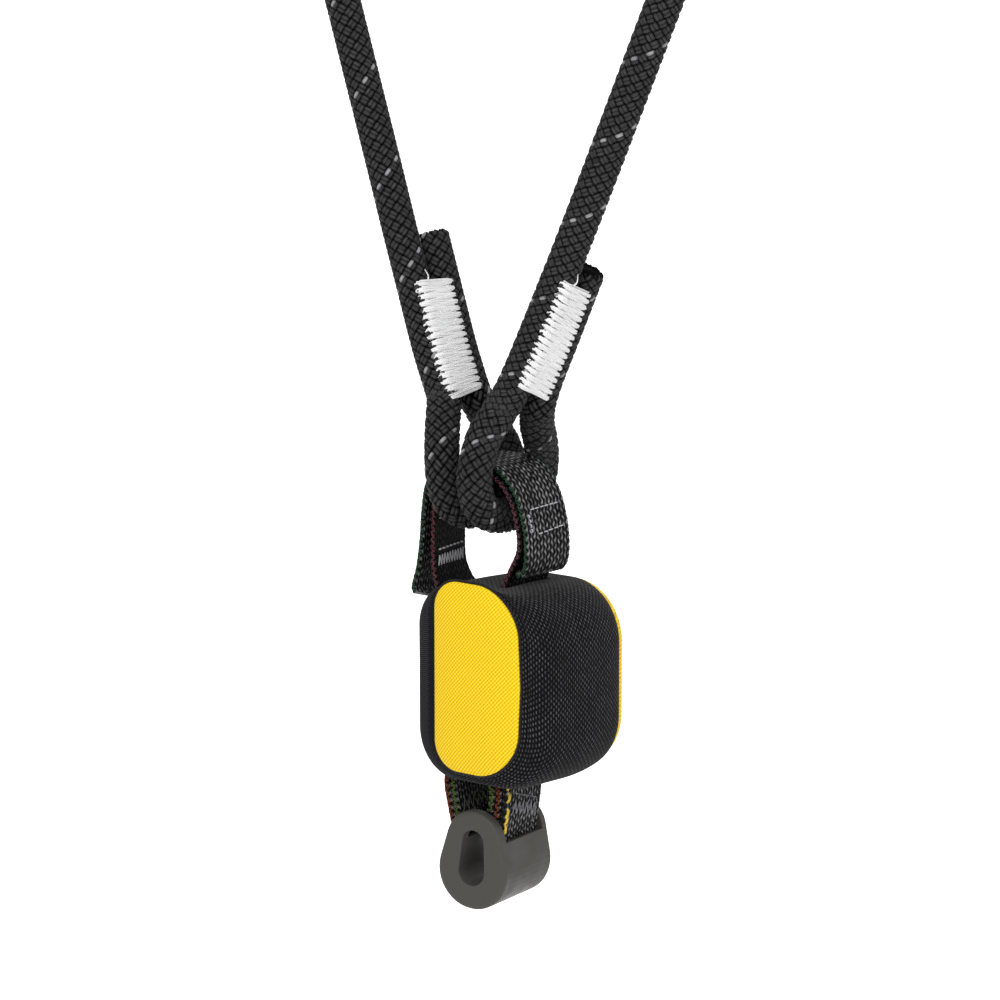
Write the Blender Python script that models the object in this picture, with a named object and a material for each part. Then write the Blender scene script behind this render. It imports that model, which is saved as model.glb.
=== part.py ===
"""Y lanyard with a tear-webbing energy absorber.

Two rope arms with sewn eyes hang in a webbing attachment loop. Below it the absorber sits in a zipped fabric
pouch, and a webbing connector loop with a rubber positioner comes out at the bottom. Metres, +Z up. The origin is
midway between the lowest points of the two rope eyes, on the centre of the rope. X runs from the left arm to the
right arm, and Y is the width direction of the webbing."""

import math

import bmesh
import bpy
from mathutils import Vector

# Shared sizes
GAP = 0.0003  # clearance between pieces that touch on the real object
ROPE_D = 0.011
WEBBING_WIDTH = 0.0215
WEBBING_THICKNESS = 0.0018
THREAD_D = 0.0006

# Rope eyes
LEG_PITCH = ROPE_D + 0.0011  # standing part to tail, where they are sewn together
EYE_HALF_WIDTH = 0.0170  # centre line of the upper eyes
UPPER_TACK_LENGTH = 0.038
UPPER_EYE_LENGTH = 0.041  # from the stitching to the eye's far end
UPPER_TAIL = 0.008  # tail past the stitching
PAIR_Y = -0.0020  # centre of the sewn pair of legs
ARM_PIVOT = (0.0060, 0.0148)  # half the eyes' spacing, and the crest of the webbing that they hang on

# Routes of the two ropes: lower tail end, lower eye, standing part. Points are chosen by hand.
LEFT_TAIL = [
    (-0.0273, 0.0039, 0.0860),
    (-0.0223, 0.0039, 0.0710),
    (-0.0161, 0.0039, 0.0526),
    (-0.0119, 0.0039, 0.0420),
    (-0.0100, 0.0042, 0.0362),
    (-0.0107, 0.0084, 0.0298),
    (-0.0104, 0.0139, 0.0232),
    (-0.0090, 0.0165, 0.0180),
    (-0.0074, 0.0167, 0.0125),
]
LEFT_EYE = [
    (-0.0064, 0.0142, 0.0055),
    (-0.0060, 0.0080, 0.0012),
    (-0.0060, 0.0000, 0.0000),
    (-0.0060, -0.0080, 0.0010),
    (-0.0059, -0.0142, 0.0055),
]
LEFT_STANDING = [
    (-0.0058, -0.0169, 0.0130),
    (-0.0062, -0.0166, 0.0200),
    (-0.0083, -0.0136, 0.0270),
    (-0.0106, -0.0106, 0.0320),
    (-0.0129, -0.0083, 0.0365),
    (-0.0154, -0.0080, 0.0423),
    (-0.0195, -0.0080, 0.0526),
    (-0.0257, -0.0080, 0.0710),
    (-0.0320, -0.0080, 0.0897),
    (-0.0382, -0.0080, 0.1087),
    (-0.0485, -0.0080, 0.1396),
]
RIGHT_TAIL = [
    (0.0389, 0.0036, 0.0825),
    (0.0334, 0.0036, 0.0710),
    (0.0269, 0.0036, 0.0575),
    (0.0202, 0.0036, 0.0445),
    (0.0166, 0.0038, 0.0370),
    (0.0131, 0.0062, 0.0322),
    (0.0102, 0.0098, 0.0272),
    (0.0076, 0.0142, 0.0230),
    (0.0060, 0.0170, 0.0172),
]
RIGHT_EYE = [
    (0.0056, 0.0167, 0.0110),
    (0.0058, 0.0135, 0.0048),
    (0.0060, 0.0075, 0.0011),
    (0.0060, 0.0000, 0.0000),
    (0.0060, -0.0080, 0.0010),
    (0.0063, -0.0142, 0.0055),
]
RIGHT_STANDING = [
    (0.0069, -0.0169, 0.0130),
    (0.0072, -0.0166, 0.0190),
    (0.0076, -0.0140, 0.0265),
    (0.0092, -0.0116, 0.0310),
    (0.0118, -0.0089, 0.0360),
    (0.0146, -0.0080, 0.0415),
    (0.0185, -0.0080, 0.0490),
    (0.0230, -0.0080, 0.0580),
    (0.0330, -0.0080, 0.0782),
    (0.0427, -0.0080, 0.0985),
    (0.0523, -0.0080, 0.1188),
    (0.0680, -0.0080, 0.1519),
]
# Start of each upper eye's stitching on the standing part, as (x, z), and the arm's lean there
LEFT_UPPER_START = (-0.0588, 0.1705)
LEFT_LEAN = -math.radians(18.4)
RIGHT_UPPER_START = (0.0837, 0.1850)
RIGHT_LEAN = math.radians(25.4)

# Bar tacks
TACK_WIDTH = 0.0135
TACK_PAD = 0.0006
TACK_WEB = 0.0004
TACK_GAP = 0.0004
LEFT_TACK_Z = (0.0357, 0.0717)
RIGHT_TACK_Z = (0.0420, 0.0774)

# Upper positioners, in the plane of the eye: distances from the stitching's end
UPPER_POSITIONER_DEPTH = 0.0155
UPPER_POSITIONER_BIG_R = 0.0160
UPPER_POSITIONER_SMALL_R = 0.0070
UPPER_POSITIONER_CLEARANCE = 0.0030  # to the stitching
GROOVE_CLEARANCE = 0.0006
UPPER_HOLE_BIG_R = 0.0065
UPPER_HOLE_SMALL_R = 0.0045
UPPER_HOLE_SHIFT = 0.0040  # the hole's small end above the block's

# Attachment loop, as (x, z) of each layer's middle, from the left end over the ropes to the right end
INNER_LOOP_PATH = [
    (-0.0090, -0.0360),
    (-0.0091, -0.0300),
    (-0.0108, -0.0240),
    (-0.0140, -0.0180),
    (-0.0152, -0.0100),
    (-0.0154, 0.0000),
    (-0.0146, 0.0070),
    (-0.0112, 0.0124),
    (-0.0050, 0.0148),
    (0.0050, 0.0148),
    (0.0112, 0.0122),
    (0.0162, 0.0062),
    (0.0188, -0.0020),
    (0.0190, -0.0090),
    (0.0160, -0.0150),
    (0.0132, -0.0210),
    (0.0128, -0.0280),
    (0.0128, -0.0360),
]
OUTER_LOOP_PATH = [
    (-0.0244, -0.0262),
    (-0.0222, -0.0190),
    (-0.0207, -0.0100),
    (-0.0199, 0.0000),
    (-0.0184, 0.0082),
    (-0.0134, 0.0148),
    (-0.0056, 0.0170),
    (0.0056, 0.0170),
    (0.0128, 0.0144),
    (0.0184, 0.0078),
    (0.0215, -0.0015),
    (0.0223, -0.0090),
    (0.0217, -0.0140),
    (0.0195, -0.0168),
    (0.0184, -0.0150),
]

# Pouch: the wrap's outline swells between its two ends. Each outline has a centre and half sizes in X and Z, and
# corner radii on its left and right
POUCH_HALF_DEPTH = 0.0210
FRONT_CENTRE = (0.0113, -0.0490)
FRONT_HALF = (0.0169, 0.0306)
FRONT_R = (0.0095, 0.0150)
MIDDLE_CENTRE = (0.0113, -0.0510)
MIDDLE_HALF = (0.0277, 0.0312)
MIDDLE_R = (0.0150, 0.0150)
REAR_CENTRE = (0.0113, -0.0507)
REAR_HALF = (0.0222, 0.0300)
REAR_R = (0.0150, 0.0150)
FRONT_FULLNESS = 4.0  # how square the swelling is
REAR_FULLNESS = 2.0
POUCH_WALL = 0.0016
POUCH_STATIONS = [-1.0, -0.993, -0.962, -0.88, -0.74, -0.52, -0.26, 0.0, 0.26, 0.52, 0.74, 0.88, 0.962, 1.0]
CORNER_STEPS = 6
FRONT_DOME = 0.0020
REAR_DOME = 0.0034
PANEL_EDGE = 0.0006
PANEL_PROFILE = [(0.0, 1.0), (0.45, 0.95), (0.80, 0.80), (1.0, 0.45)]  # shares of the dome and of the panel
LEAST_CORNER_R = 0.0040
PIPING_D = 0.0012
MOUTH_CLEARANCE = 0.0005

# Zip on the left side of the pouch
ZIP_TAPE_WIDTH = 0.0065
ZIP_TAPE_THICKNESS = 0.0008
ZIP_COIL_WIDTH = 0.0030
ZIP_COIL_THICKNESS = 0.0013
ZIP_HALF_ANGLE = math.radians(30)
SLIDER_SIZE = (0.0018, 0.0080, 0.0090)
SLIDER_Z = -0.0640
SLIDER_BAIL_HEIGHT = 0.0024
SLIDER_BAIL_D = 0.0015
PULL_LENGTH = 0.0150
PULL_WIDTH = 0.0050
PULL_THICKNESS = 0.0014
PULL_EYE_CLEARANCE = 0.0003
PULL_EYE_WALL = 0.0007

# Absorber inside the pouch
PACK_LEFT = -0.0090
PACK_LAYERS = 15
PACK_PITCH = WEBBING_THICKNESS + 0.0009
PACK_TOP = -0.0366
PACK_BOTTOM = -0.0700
PACK_BAND_WALL = 0.0010
PACK_BAND_HEIGHT = 0.0120
LABEL_SIZE = (0.0005, 0.0240, 0.0320)

# Connector loop
PIVOT_Z = -0.0790  # height at which the connector loop flexes in the pouch's mouth
CONNECTOR_YAW = math.radians(8)  # how far the loop hangs turned about the vertical
CONNECTOR_THICKNESS = 0.0022
NECK_HALF_WIDTH = 0.0088  # pivot to the middle of the two layers
END_FOLD_NECK = 0.0042
CONNECTOR_MOUTH = (0.0138, 0.0115)
CONNECTOR_LOOP_CENTRE = (0.0010, -0.1135)
CONNECTOR_LOOP_R = 0.0086
CONNECTOR_WAIST = [(-0.0096, -0.0870), (-0.0080, -0.0955), (-0.0067, -0.1015), (-0.0068, -0.1075)]
CONNECTOR_RISE = [(0.0088, -0.1075), (0.0080, -0.1025), (0.0090, -0.0960), (0.0099, -0.0880)]

# Connector positioner
POSITIONER_HALF_DEPTH = 0.0143
POSITIONER_WALL = 0.0014
POSITIONER_TOP = -0.0938
POSITIONER_TOP_R = 0.0104
POSITIONER_SADDLE_Z = -0.1035
POSITIONER_EDGE = 0.0012
SLOT_R = 0.0048
SLOT_TOP_R = 0.0040
SLOT_TOP_X = 0.0016
SLOT_TOP_Z = -0.1040


def clear_scene():
    for obj in list(bpy.data.objects):
        bpy.data.objects.remove(obj, do_unlink=True)


def material(name, colour, roughness, metallic=0.0):
    made = bpy.data.materials.new(name)
    made.use_nodes = True
    shader = made.node_tree.nodes["Principled BSDF"]
    shader.inputs["Base Color"].default_value = (*colour, 1.0)
    shader.inputs["Roughness"].default_value = roughness
    shader.inputs["Metallic"].default_value = metallic
    return made


def link(name, data, finish):
    obj = bpy.data.objects.new(name, data)
    bpy.context.scene.collection.objects.link(obj)
    if finish is not None:
        data.materials.append(finish)
    return obj


def empty(name, location):
    obj = bpy.data.objects.new(name, None)
    obj.location = location
    bpy.context.scene.collection.objects.link(obj)
    return obj


def turned(obj):
    """Turns an object about the vertical through the origin, as the connector loop hangs."""
    obj.rotation_euler.z = CONNECTOR_YAW
    return obj


def hang_on(pivot, *objects):
    """Parents the objects to the pivot and leaves them where they are."""
    for obj in objects:
        obj.parent = pivot
        obj.location = obj.location - pivot.location


def solid(name, points, faces, finish, sharp=math.radians(35)):
    """A closed mesh object with its faces pointing out."""
    mesh = bpy.data.meshes.new(name)
    mesh.from_pydata([tuple(p) for p in points], [], faces)
    work = bmesh.new()
    work.from_mesh(mesh)
    bmesh.ops.recalc_face_normals(work, faces=work.faces)
    work.to_mesh(mesh)
    work.free()
    mesh.shade_smooth()
    mesh.set_sharp_from_angle(angle=sharp)
    return link(name, mesh, finish)


def loft(name, rings, finish, ring_shaped=False):
    """Joins rings of equal length, with flat caps, or end to start where the solid is ring-shaped."""
    count = len(rings[0])
    points = [p for ring in rings for p in ring]
    faces = []
    for i in range(len(rings) if ring_shaped else len(rings) - 1):
        a, b = i * count, (i + 1) % len(rings) * count
        for j in range(count):
            k = (j + 1) % count
            faces.append((a + j, a + k, b + k, b + j))
    if not ring_shaped:
        faces.append(tuple(range(count)))
        faces.append(tuple(len(points) - count + j for j in range(count)))
    return solid(name, points, faces, finish)


def extrude_y(name, outline, low, high, finish, bevel=0.0):
    """A plate with an outline in X and Z, between two values of Y."""
    rings = [[Vector((x, y, z)) for x, z in outline] for y in (low, high)]
    obj = loft(name, rings, finish)
    if bevel:
        rounding = obj.modifiers.new("Bevel", "BEVEL")
        rounding.width = bevel
        rounding.segments = 2
        rounding.limit_method = "ANGLE"
        rounding.angle_limit = math.radians(50)
    return obj


def smooth(points, steps=6):
    """A Catmull-Rom curve through the points."""
    points = [Vector(p) for p in points]
    ends = [2 * points[0] - points[1], *points, 2 * points[-1] - points[-2]]
    made = []
    for a, b, c, d in zip(ends, ends[1:], ends[2:], ends[3:]):
        for i in range(steps):
            t = i / steps
            made.append(
                0.5 * (2 * b + (c - a) * t + (2 * a - 5 * b + 4 * c - d) * t**2 + (3 * b - a - 3 * c + d) * t**3)
            )
    return [*made, points[-1]]


def thin(points, most_turn, most_step):
    """Keeps a point wherever the curve has turned or run far enough since the last one."""
    kept = [points[0]]
    heading = points[1] - points[0]
    for before, here, after in zip(points, points[1:], points[2:]):
        turned = heading.angle(after - here, 0.0)
        if turned > most_turn or (here - kept[-1]).length > most_step:
            kept.append(here)
            heading = after - here
    return [*kept, points[-1]]


def at_height(points, z):
    """Where a curve that rises or falls steadily crosses a height."""
    for a, b in zip(points, points[1:]):
        if min(a.z, b.z) <= z <= max(a.z, b.z):
            return a.lerp(b, (z - a.z) / (b.z - a.z))
    return points[0] if abs(points[0].z - z) < abs(points[-1].z - z) else points[-1]


def tube(name, points, diameter, finish, resolution=3):
    """A round cord along the points, as a curve with filled ends."""
    curve = bpy.data.curves.new(name, "CURVE")
    curve.dimensions = "3D"
    curve.bevel_depth = diameter / 2
    curve.bevel_resolution = resolution
    curve.use_fill_caps = True
    spline = curve.splines.new("POLY")
    spline.points.add(len(points) - 1)
    for target, point in zip(spline.points, points):
        target.co = (*point, 1.0)
    return link(name, curve, finish)


def round_rod(name, points, radius, finish, sides=12):
    """A round bar as a mesh. Its rings turn with the path and don't twist."""
    across = Vector((1, 0, 0))
    rings = []
    for i, point in enumerate(points):
        along = (points[min(i + 1, len(points) - 1)] - points[max(i - 1, 0)]).normalized()
        across = (across - along * across.dot(along)).normalized()
        other = along.cross(across)
        rings.append(
            [
                point + radius * (math.cos(a) * across + math.sin(a) * other)
                for a in (2 * math.pi * k / sides for k in range(sides))
            ]
        )
    return loft(name, rings, finish)


def cutter(obj):
    obj.hide_render = True
    obj.display_type = "WIRE"
    return obj


def cut(target, tool):
    modifier = target.modifiers.new("Cut", "BOOLEAN")
    modifier.operation = "DIFFERENCE"
    modifier.solver = "EXACT"
    modifier.object = cutter(tool)


def path_frames(path, steps=4, most_turn=math.radians(13), most_step=0.009):
    """Points, directions and outward normals along a path in X and Z."""
    points = thin(smooth([(x, 0, z) for x, z in path], steps), most_turn, most_step)
    frames = []
    for i, point in enumerate(points):
        along = (points[min(i + 1, len(points) - 1)] - points[max(i - 1, 0)]).normalized()
        frames.append((point, along, along.cross(Vector((0, 1, 0)))))
    return frames


def strip(name, frames, width, thickness, finish, offset=0.0, middle=0.0):
    """A flat webbing along the frames, moved outwards by offset, with its middle at a value of Y."""
    rings = []
    for point, _, out in frames:
        side = Vector((0, width / 2, 0))
        centre = point + out * offset + Vector((0, middle, 0))
        half = out * (thickness / 2)
        rings.append([centre - side - half, centre + side - half, centre + side + half, centre - side + half])
    return loft(name, rings, finish)


def arc(centre, radius, start, end, steps):
    """Points of an arc in X and Z, with angles in degrees from +X towards +Z."""
    return [
        (centre[0] + radius * math.cos(a), centre[1] + radius * math.sin(a))
        for a in (math.radians(start + (end - start) * k / steps) for k in range(steps + 1))
    ]


def two_circles(low, low_r, high, high_r, steps=12):
    """The outline round two circles, one above the other, with its straight sides tangent to both."""
    apart = math.hypot(high[0] - low[0], high[1] - low[1])
    lean = math.degrees(math.asin(max(-1.0, min(1.0, (low_r - high_r) / apart))))
    aside = math.degrees(math.atan2(high[0] - low[0], high[1] - low[1]))
    return [
        *arc(low, low_r, 180 - lean - aside, 360 + lean - aside, 2 * steps),
        *arc(high, high_r, lean - aside, 180 - lean - aside, steps),
    ]


def rounded_rectangle(centre, half, radii, inset=0.0):
    """An outline drawn in by inset, with the same number of points in each corner. The radii are left and right."""
    left, right = (max(r - inset, LEAST_CORNER_R) for r in radii)
    low_x, high_x = centre[0] - half[0] + inset, centre[0] + half[0] - inset
    low_z, high_z = centre[1] - half[1] + inset, centre[1] + half[1] - inset
    return [
        *arc((high_x - right, high_z - right), right, 0, 90, CORNER_STEPS),
        *arc((low_x + left, high_z - left), left, 90, 180, CORNER_STEPS),
        *arc((low_x + left, low_z + left), left, 180, 270, CORNER_STEPS),
        *arc((high_x - right, low_z + right), right, 270, 360, CORNER_STEPS),
    ]


def pouch_outline(share_of_depth, inset):
    """The wrap's outline at a share of its half depth, from -1 at the front to 1 at the rear."""
    end = (FRONT_CENTRE, FRONT_HALF, FRONT_R) if share_of_depth < 0 else (REAR_CENTRE, REAR_HALF, REAR_R)
    fullness = FRONT_FULLNESS if share_of_depth < 0 else REAR_FULLNESS
    share = (1 - abs(share_of_depth) ** fullness) ** (1 / fullness)
    middle = (MIDDLE_CENTRE, MIDDLE_HALF, MIDDLE_R)
    blend = [[a + (b - a) * share for a, b in zip(first, second)] for first, second in zip(end, middle)]
    return rounded_rectangle(*blend, inset)


def at_depth(outline, y):
    return [Vector((x, y, z)) for x, z in outline]


# Arms


def upper_frame(start, lean):
    """Middle of the sewn pair at the upper stitching's start, direction of the arm, and the side it faces."""
    along = Vector((math.sin(lean), 0, math.cos(lean)))
    return Vector((start[0], PAIR_Y, start[1])), along, Vector((0, 1, 0)).cross(along)


def upper_eye_route(start, lean):
    """The rope from the upper stitching round the eye and back to the upper tail's end."""
    origin, along, _ = upper_frame(start, lean)
    sewn, wide = LEG_PITCH / 2, EYE_HALF_WIDTH
    bend = UPPER_TACK_LENGTH + UPPER_EYE_LENGTH - wide
    up = [
        (0.0, sewn),
        (UPPER_TACK_LENGTH * 0.5, sewn),
        (UPPER_TACK_LENGTH, sewn),
        (UPPER_TACK_LENGTH + 0.3 * (bend - UPPER_TACK_LENGTH), sewn + 0.28 * (wide - sewn)),
        (UPPER_TACK_LENGTH + 0.7 * (bend - UPPER_TACK_LENGTH), sewn + 0.82 * (wide - sewn)),
    ]
    turn = [(bend + wide * math.sin(a), wide * math.cos(a)) for a in (math.radians(15 + 25 * k) for k in range(3))]
    far = [(bend + wide, 0.0)]
    legs = [(s, -t) for s, t in [*up, *turn]] + far + [*turn[::-1], *up[::-1], (-UPPER_TAIL, sewn)]
    return [origin + along * s + Vector((0, t, 0)) for s, t in legs]


def rope_route(tail, eye, standing, start, lean):
    return [*map(Vector, [*tail, *eye, *standing]), *upper_eye_route(start, lean)]


def tack_rings(frames):
    """An I-shaped section: a pad of stitches on either side of the legs, and the threads that pass between them."""
    inner = ROPE_D / 2 + TACK_GAP
    outer = inner + TACK_PAD
    half, web = TACK_WIDTH / 2, TACK_WEB / 2
    right = [(half, -outer), (half, -inner), (web, -inner), (web, inner), (half, inner), (half, outer)]
    section = [*right, *[(-w, h) for w, h in right[::-1]]]
    return [[centre + across * w + out * h for w, h in section] for centre, across, out in frames]


def lower_tack(name, tail, standing, heights, finish):
    tail, standing = smooth(tail), smooth(standing)
    levels = [heights[0] + (heights[1] - heights[0]) * k / 5 for k in range(6)]
    legs = [(at_height(standing, z), at_height(tail, z)) for z in levels]
    middles = [(a + b) / 2 for a, b in legs]
    frames = []
    for i, (a, b) in enumerate(legs):
        along = (middles[min(i + 1, 5)] - middles[max(i - 1, 0)]).normalized()
        across = b - a
        across = (across - along * across.dot(along)).normalized()
        frames.append((middles[i], across, across.cross(along)))
    return loft(name, tack_rings(frames), finish)


def upper_tack(name, start, lean, finish):
    origin, along, out = upper_frame(start, lean)
    ends = (TACK_PAD, UPPER_TACK_LENGTH - TACK_PAD)
    frames = [(origin + along * s, Vector((0, 1, 0)), out) for s in ends]
    return loft(name, tack_rings(frames), finish)


def upper_positioner(name, rope, start, lean, finish):
    """A rubber block in the eye, grooved for the rope, with a hole for a connector."""
    origin, along, out = upper_frame(start, lean)
    bend = UPPER_TACK_LENGTH + UPPER_EYE_LENGTH - EYE_HALF_WIDTH
    low = UPPER_TACK_LENGTH + UPPER_POSITIONER_SMALL_R + UPPER_POSITIONER_CLEARANCE

    def block(label, big, small, small_at, depth, colour):
        # Drawn with the larger circle below, as two_circles does, and turned over.
        outline = two_circles((0, -bend), big, (0, -small_at), small, 8)
        rings = [
            [origin - along * s + Vector((0, t, 0)) + out * h for t, s in outline] for h in (-depth / 2, depth / 2)
        ]
        return loft(label, rings, colour)

    body = block(name, UPPER_POSITIONER_BIG_R, UPPER_POSITIONER_SMALL_R, low, UPPER_POSITIONER_DEPTH, finish)
    in_eye = [point for point in rope if (point - origin).dot(along) > 0]
    groove = round_rod(name + "_groove", in_eye, ROPE_D / 2 + GROOVE_CLEARANCE, None)
    hole_low = low + UPPER_HOLE_SHIFT
    hole = block(
        name + "_hole", UPPER_HOLE_BIG_R, UPPER_HOLE_SMALL_R, hole_low, UPPER_POSITIONER_DEPTH * 2, None
    )
    cut(body, groove)
    cut(body, hole)
    return body


def arm(side, tail, eye, standing, start, lean, heights, finishes):
    rope, thread, rubber = finishes
    points = thin(smooth(rope_route(tail, eye, standing, start, lean)), math.radians(17), 0.024)
    pivot = empty(side + "_arm_pivot", (math.copysign(ARM_PIVOT[0], start[0]), 0.0, ARM_PIVOT[1]))
    pieces = [
        tube(side + "_arm_rope", points, ROPE_D, rope),
        lower_tack(side + "_arm_lower_bar_tack", tail, standing, heights, thread),
        upper_tack(side + "_arm_upper_bar_tack", start, lean, thread),
        upper_positioner(side + "_arm_upper_positioner", points, start, lean, rubber),
    ]
    hang_on(pivot, *pieces)


# Attachment loop


def thread_on(name, frames, marks, height, finish, resolution=1):
    """A thread over a webbing, through marks given as (share of the path, y), at a height over its middle."""
    lengths = [0.0]
    for a, b in zip(frames, frames[1:]):
        lengths.append(lengths[-1] + (b[0] - a[0]).length)
    points = []
    for share, y in marks:
        run = share * lengths[-1]
        i = max(k for k in range(len(lengths) - 1) if lengths[k] <= run)
        t = (run - lengths[i]) / (lengths[i + 1] - lengths[i])
        point = frames[i][0].lerp(frames[i + 1][0], t)
        out = frames[i][2].lerp(frames[i + 1][2], t).normalized()
        points.append(point + out * height + Vector((0, y, 0)))
    return tube(name, points, THREAD_D, finish, resolution)


def zigzag(start, end, half_width, turns):
    """Marks of a thread that goes to and fro across the webbing, with rounded turns."""
    marks = []
    steps = 8 * turns
    for k in range(steps + 1):
        phase = 2 * math.pi * k / 8
        marks.append((start + (end - start) * k / steps, half_width * math.sin(phase)))
    return marks


def line(start, end, steps=6):
    """Marks of a straight run of thread."""
    return [tuple(a + (b - a) * k / steps for a, b in zip(start, end)) for k in range(steps)]


def attachment_loop(webbing, thread):
    inner = path_frames(INNER_LOOP_PATH)
    outer = path_frames(OUTER_LOOP_PATH)
    strip("attachment_loop_inner_webbing", inner, WEBBING_WIDTH, WEBBING_THICKNESS, webbing)
    strip("attachment_loop_outer_webbing", outer, WEBBING_WIDTH, WEBBING_THICKNESS, webbing)
    over = WEBBING_THICKNESS / 2 + GAP + THREAD_D / 2
    half = WEBBING_WIDTH / 2 - 0.0015
    thread_on("attachment_loop_left_stitching", inner, zigzag(0.14, 0.20, half, 3), -over, thread)
    rows = line((0.66, half), (0.66, -half)) + line((0.66, -half), (0.78, -half)) + line((0.78, -half), (0.78, half))
    thread_on("attachment_loop_right_stitching", outer, rows, over, thread)
    return inner


# Pouch


def pouch_wrap(inner_frames, finish):
    deep, inside = POUCH_HALF_DEPTH, POUCH_HALF_DEPTH - POUCH_WALL
    rings = [at_depth(pouch_outline(s, 0.0), s * deep) for s in POUCH_STATIONS]
    rings.append(at_depth(pouch_outline(1.0, POUCH_WALL), deep))
    rings += [at_depth(pouch_outline(s, POUCH_WALL), s * inside) for s in POUCH_STATIONS[::-1]]
    rings.append(at_depth(pouch_outline(-1.0, POUCH_WALL), -deep))
    wrap = loft("pouch_wrap", rings, finish, ring_shaped=True)
    slot = strip(
        "pouch_top_slots",
        inner_frames,
        WEBBING_WIDTH + 2 * MOUTH_CLEARANCE,
        WEBBING_THICKNESS + 2 * MOUTH_CLEARANCE,
        None,
    )
    cut(wrap, slot)
    x, y = CONNECTOR_MOUTH
    low, high = PIVOT_Z - 0.012, PIVOT_Z + 0.005
    mouth = extrude_y("pouch_mouth", [(-x, low), (x, low), (x, high), (-x, high)], -y, y, None)
    cut(wrap, turned(mouth))
    return wrap


def end_piece(side, sign, end, dome, finishes):
    """A domed end panel and the seam cord round it. sign is -1 at the front and 1 at the rear."""
    panel_finish, piping_finish = finishes
    face = POUCH_HALF_DEPTH + GAP
    half_x = end[1][0] - GAP
    rings = [at_depth(rounded_rectangle(*end, GAP), sign * face)]
    for rise, share in PANEL_PROFILE:
        outline = rounded_rectangle(*end, GAP + (1 - share) * half_x)
        rings.append(at_depth(outline, sign * (face + PANEL_EDGE + rise * dome)))
    loft(f"pouch_{side}_panel", rings, panel_finish)
    outline = rounded_rectangle(*end, -PIPING_D / 2)
    y = face + PIPING_D / 2
    rings = []
    for i, (x, z) in enumerate(outline):
        before, after = outline[i - 1], outline[(i + 1) % len(outline)]
        along = Vector((after[0] - before[0], 0, after[1] - before[1])).normalized()
        out = along.cross(Vector((0, 1, 0)))
        centre = Vector((x, sign * y, z))
        angles = [math.pi * k / 3 for k in range(6)]
        rings.append([centre + PIPING_D / 2 * (math.cos(a) * out + Vector((0, math.sin(a), 0))) for a in angles])
    loft(f"pouch_{side}_piping", rings, piping_finish, ring_shaped=True)


def zip_closure(tape_finish, coil_finish, metal):
    half_x, half_z = MIDDLE_HALF
    corner_r = MIDDLE_R[0]
    corner_x = MIDDLE_CENTRE[0] - half_x + corner_r
    low = MIDDLE_CENTRE[1] - half_z + corner_r
    high = MIDDLE_CENTRE[1] + half_z - corner_r
    turn = math.degrees(ZIP_HALF_ANGLE)
    steps = round(turn / (90 / CORNER_STEPS))

    def run(offset):
        radius = corner_r + offset
        path = [
            *arc((corner_x, low), radius, 180 + turn, 180, steps),
            *arc((corner_x, high), radius, 180, 180 - turn, steps),
        ]
        points = [Vector((x, 0, z)) for x, z in path]
        out = [Vector((x - corner_x, 0, z - min(max(z, low), high))).normalized() for x, z in path]
        return [(point, None, normal) for point, normal in zip(points, out)]

    tape = run(GAP + ZIP_TAPE_THICKNESS / 2)
    side = ZIP_COIL_WIDTH / 2 + GAP + ZIP_TAPE_WIDTH / 2
    strip("zip_front_tape", tape, ZIP_TAPE_WIDTH, ZIP_TAPE_THICKNESS, tape_finish, middle=-side)
    strip("zip_rear_tape", tape, ZIP_TAPE_WIDTH, ZIP_TAPE_THICKNESS, tape_finish, middle=side)
    strip("zip_coil", run(GAP + ZIP_COIL_THICKNESS / 2), ZIP_COIL_WIDTH, ZIP_COIL_THICKNESS, coil_finish)

    surface = MIDDLE_CENTRE[0] - half_x - GAP - ZIP_COIL_THICKNESS - GAP
    thick, wide, tall = SLIDER_SIZE
    bar_x = surface - thick - SLIDER_BAIL_HEIGHT
    bar_r = SLIDER_BAIL_D / 2
    inner, outer = PULL_WIDTH / 2 + GAP, PULL_WIDTH / 2 + GAP + SLIDER_BAIL_D
    slide = empty("zip_slide", (surface, 0.0, SLIDER_Z))
    plate = [(surface - thick, -tall / 2), (surface, -tall / 2), (surface, tall / 2), (surface - thick, tall / 2)]
    slider = extrude_y("zip_slider", [(x, SLIDER_Z + z) for x, z in plate], -wide / 2, wide / 2, metal)
    for sign in (-1, 1):
        post = extrude_y(
            f"zip_slider_post_{'front' if sign < 0 else 'rear'}",
            [(x, SLIDER_Z + z) for x, z in (
                (bar_x - bar_r, -bar_r), (surface - thick / 2, -bar_r),
                (surface - thick / 2, bar_r), (bar_x - bar_r, bar_r))],
            *sorted((sign * inner, sign * outer)),
            None,
        )
        join(slider, post)
    bar = round_rod(
        "zip_slider_bar",
        [Vector((bar_x, y, SLIDER_Z)) for y in (-inner - bar_r, inner + bar_r)],
        bar_r * 0.96,
        None,
        8,
    )
    join(slider, bar)
    hang_on(slide, slider)

    eye_r = bar_r + PULL_EYE_CLEARANCE
    ring_r = eye_r + PULL_EYE_WALL
    pivot = empty("zip_pull_pivot", (bar_x, 0.0, SLIDER_Z))
    tab = PULL_THICKNESS / 2
    foot = SLIDER_Z - PULL_LENGTH
    neck = math.degrees(math.asin(tab / ring_r))
    outline = [
        *arc((bar_x, SLIDER_Z), ring_r, 270 + neck, 630 - neck, 14),
        (bar_x - tab, foot),
        (bar_x + tab, foot),
    ]
    pull = extrude_y("zip_pull", outline, -PULL_WIDTH / 2, PULL_WIDTH / 2, metal)
    hole = round_rod(
        "zip_pull_hole",
        [Vector((bar_x, y, SLIDER_Z)) for y in (-PULL_WIDTH, PULL_WIDTH)],
        eye_r,
        None,
        12,
    )
    cut(pull, hole)
    hang_on(pivot, pull)


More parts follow.
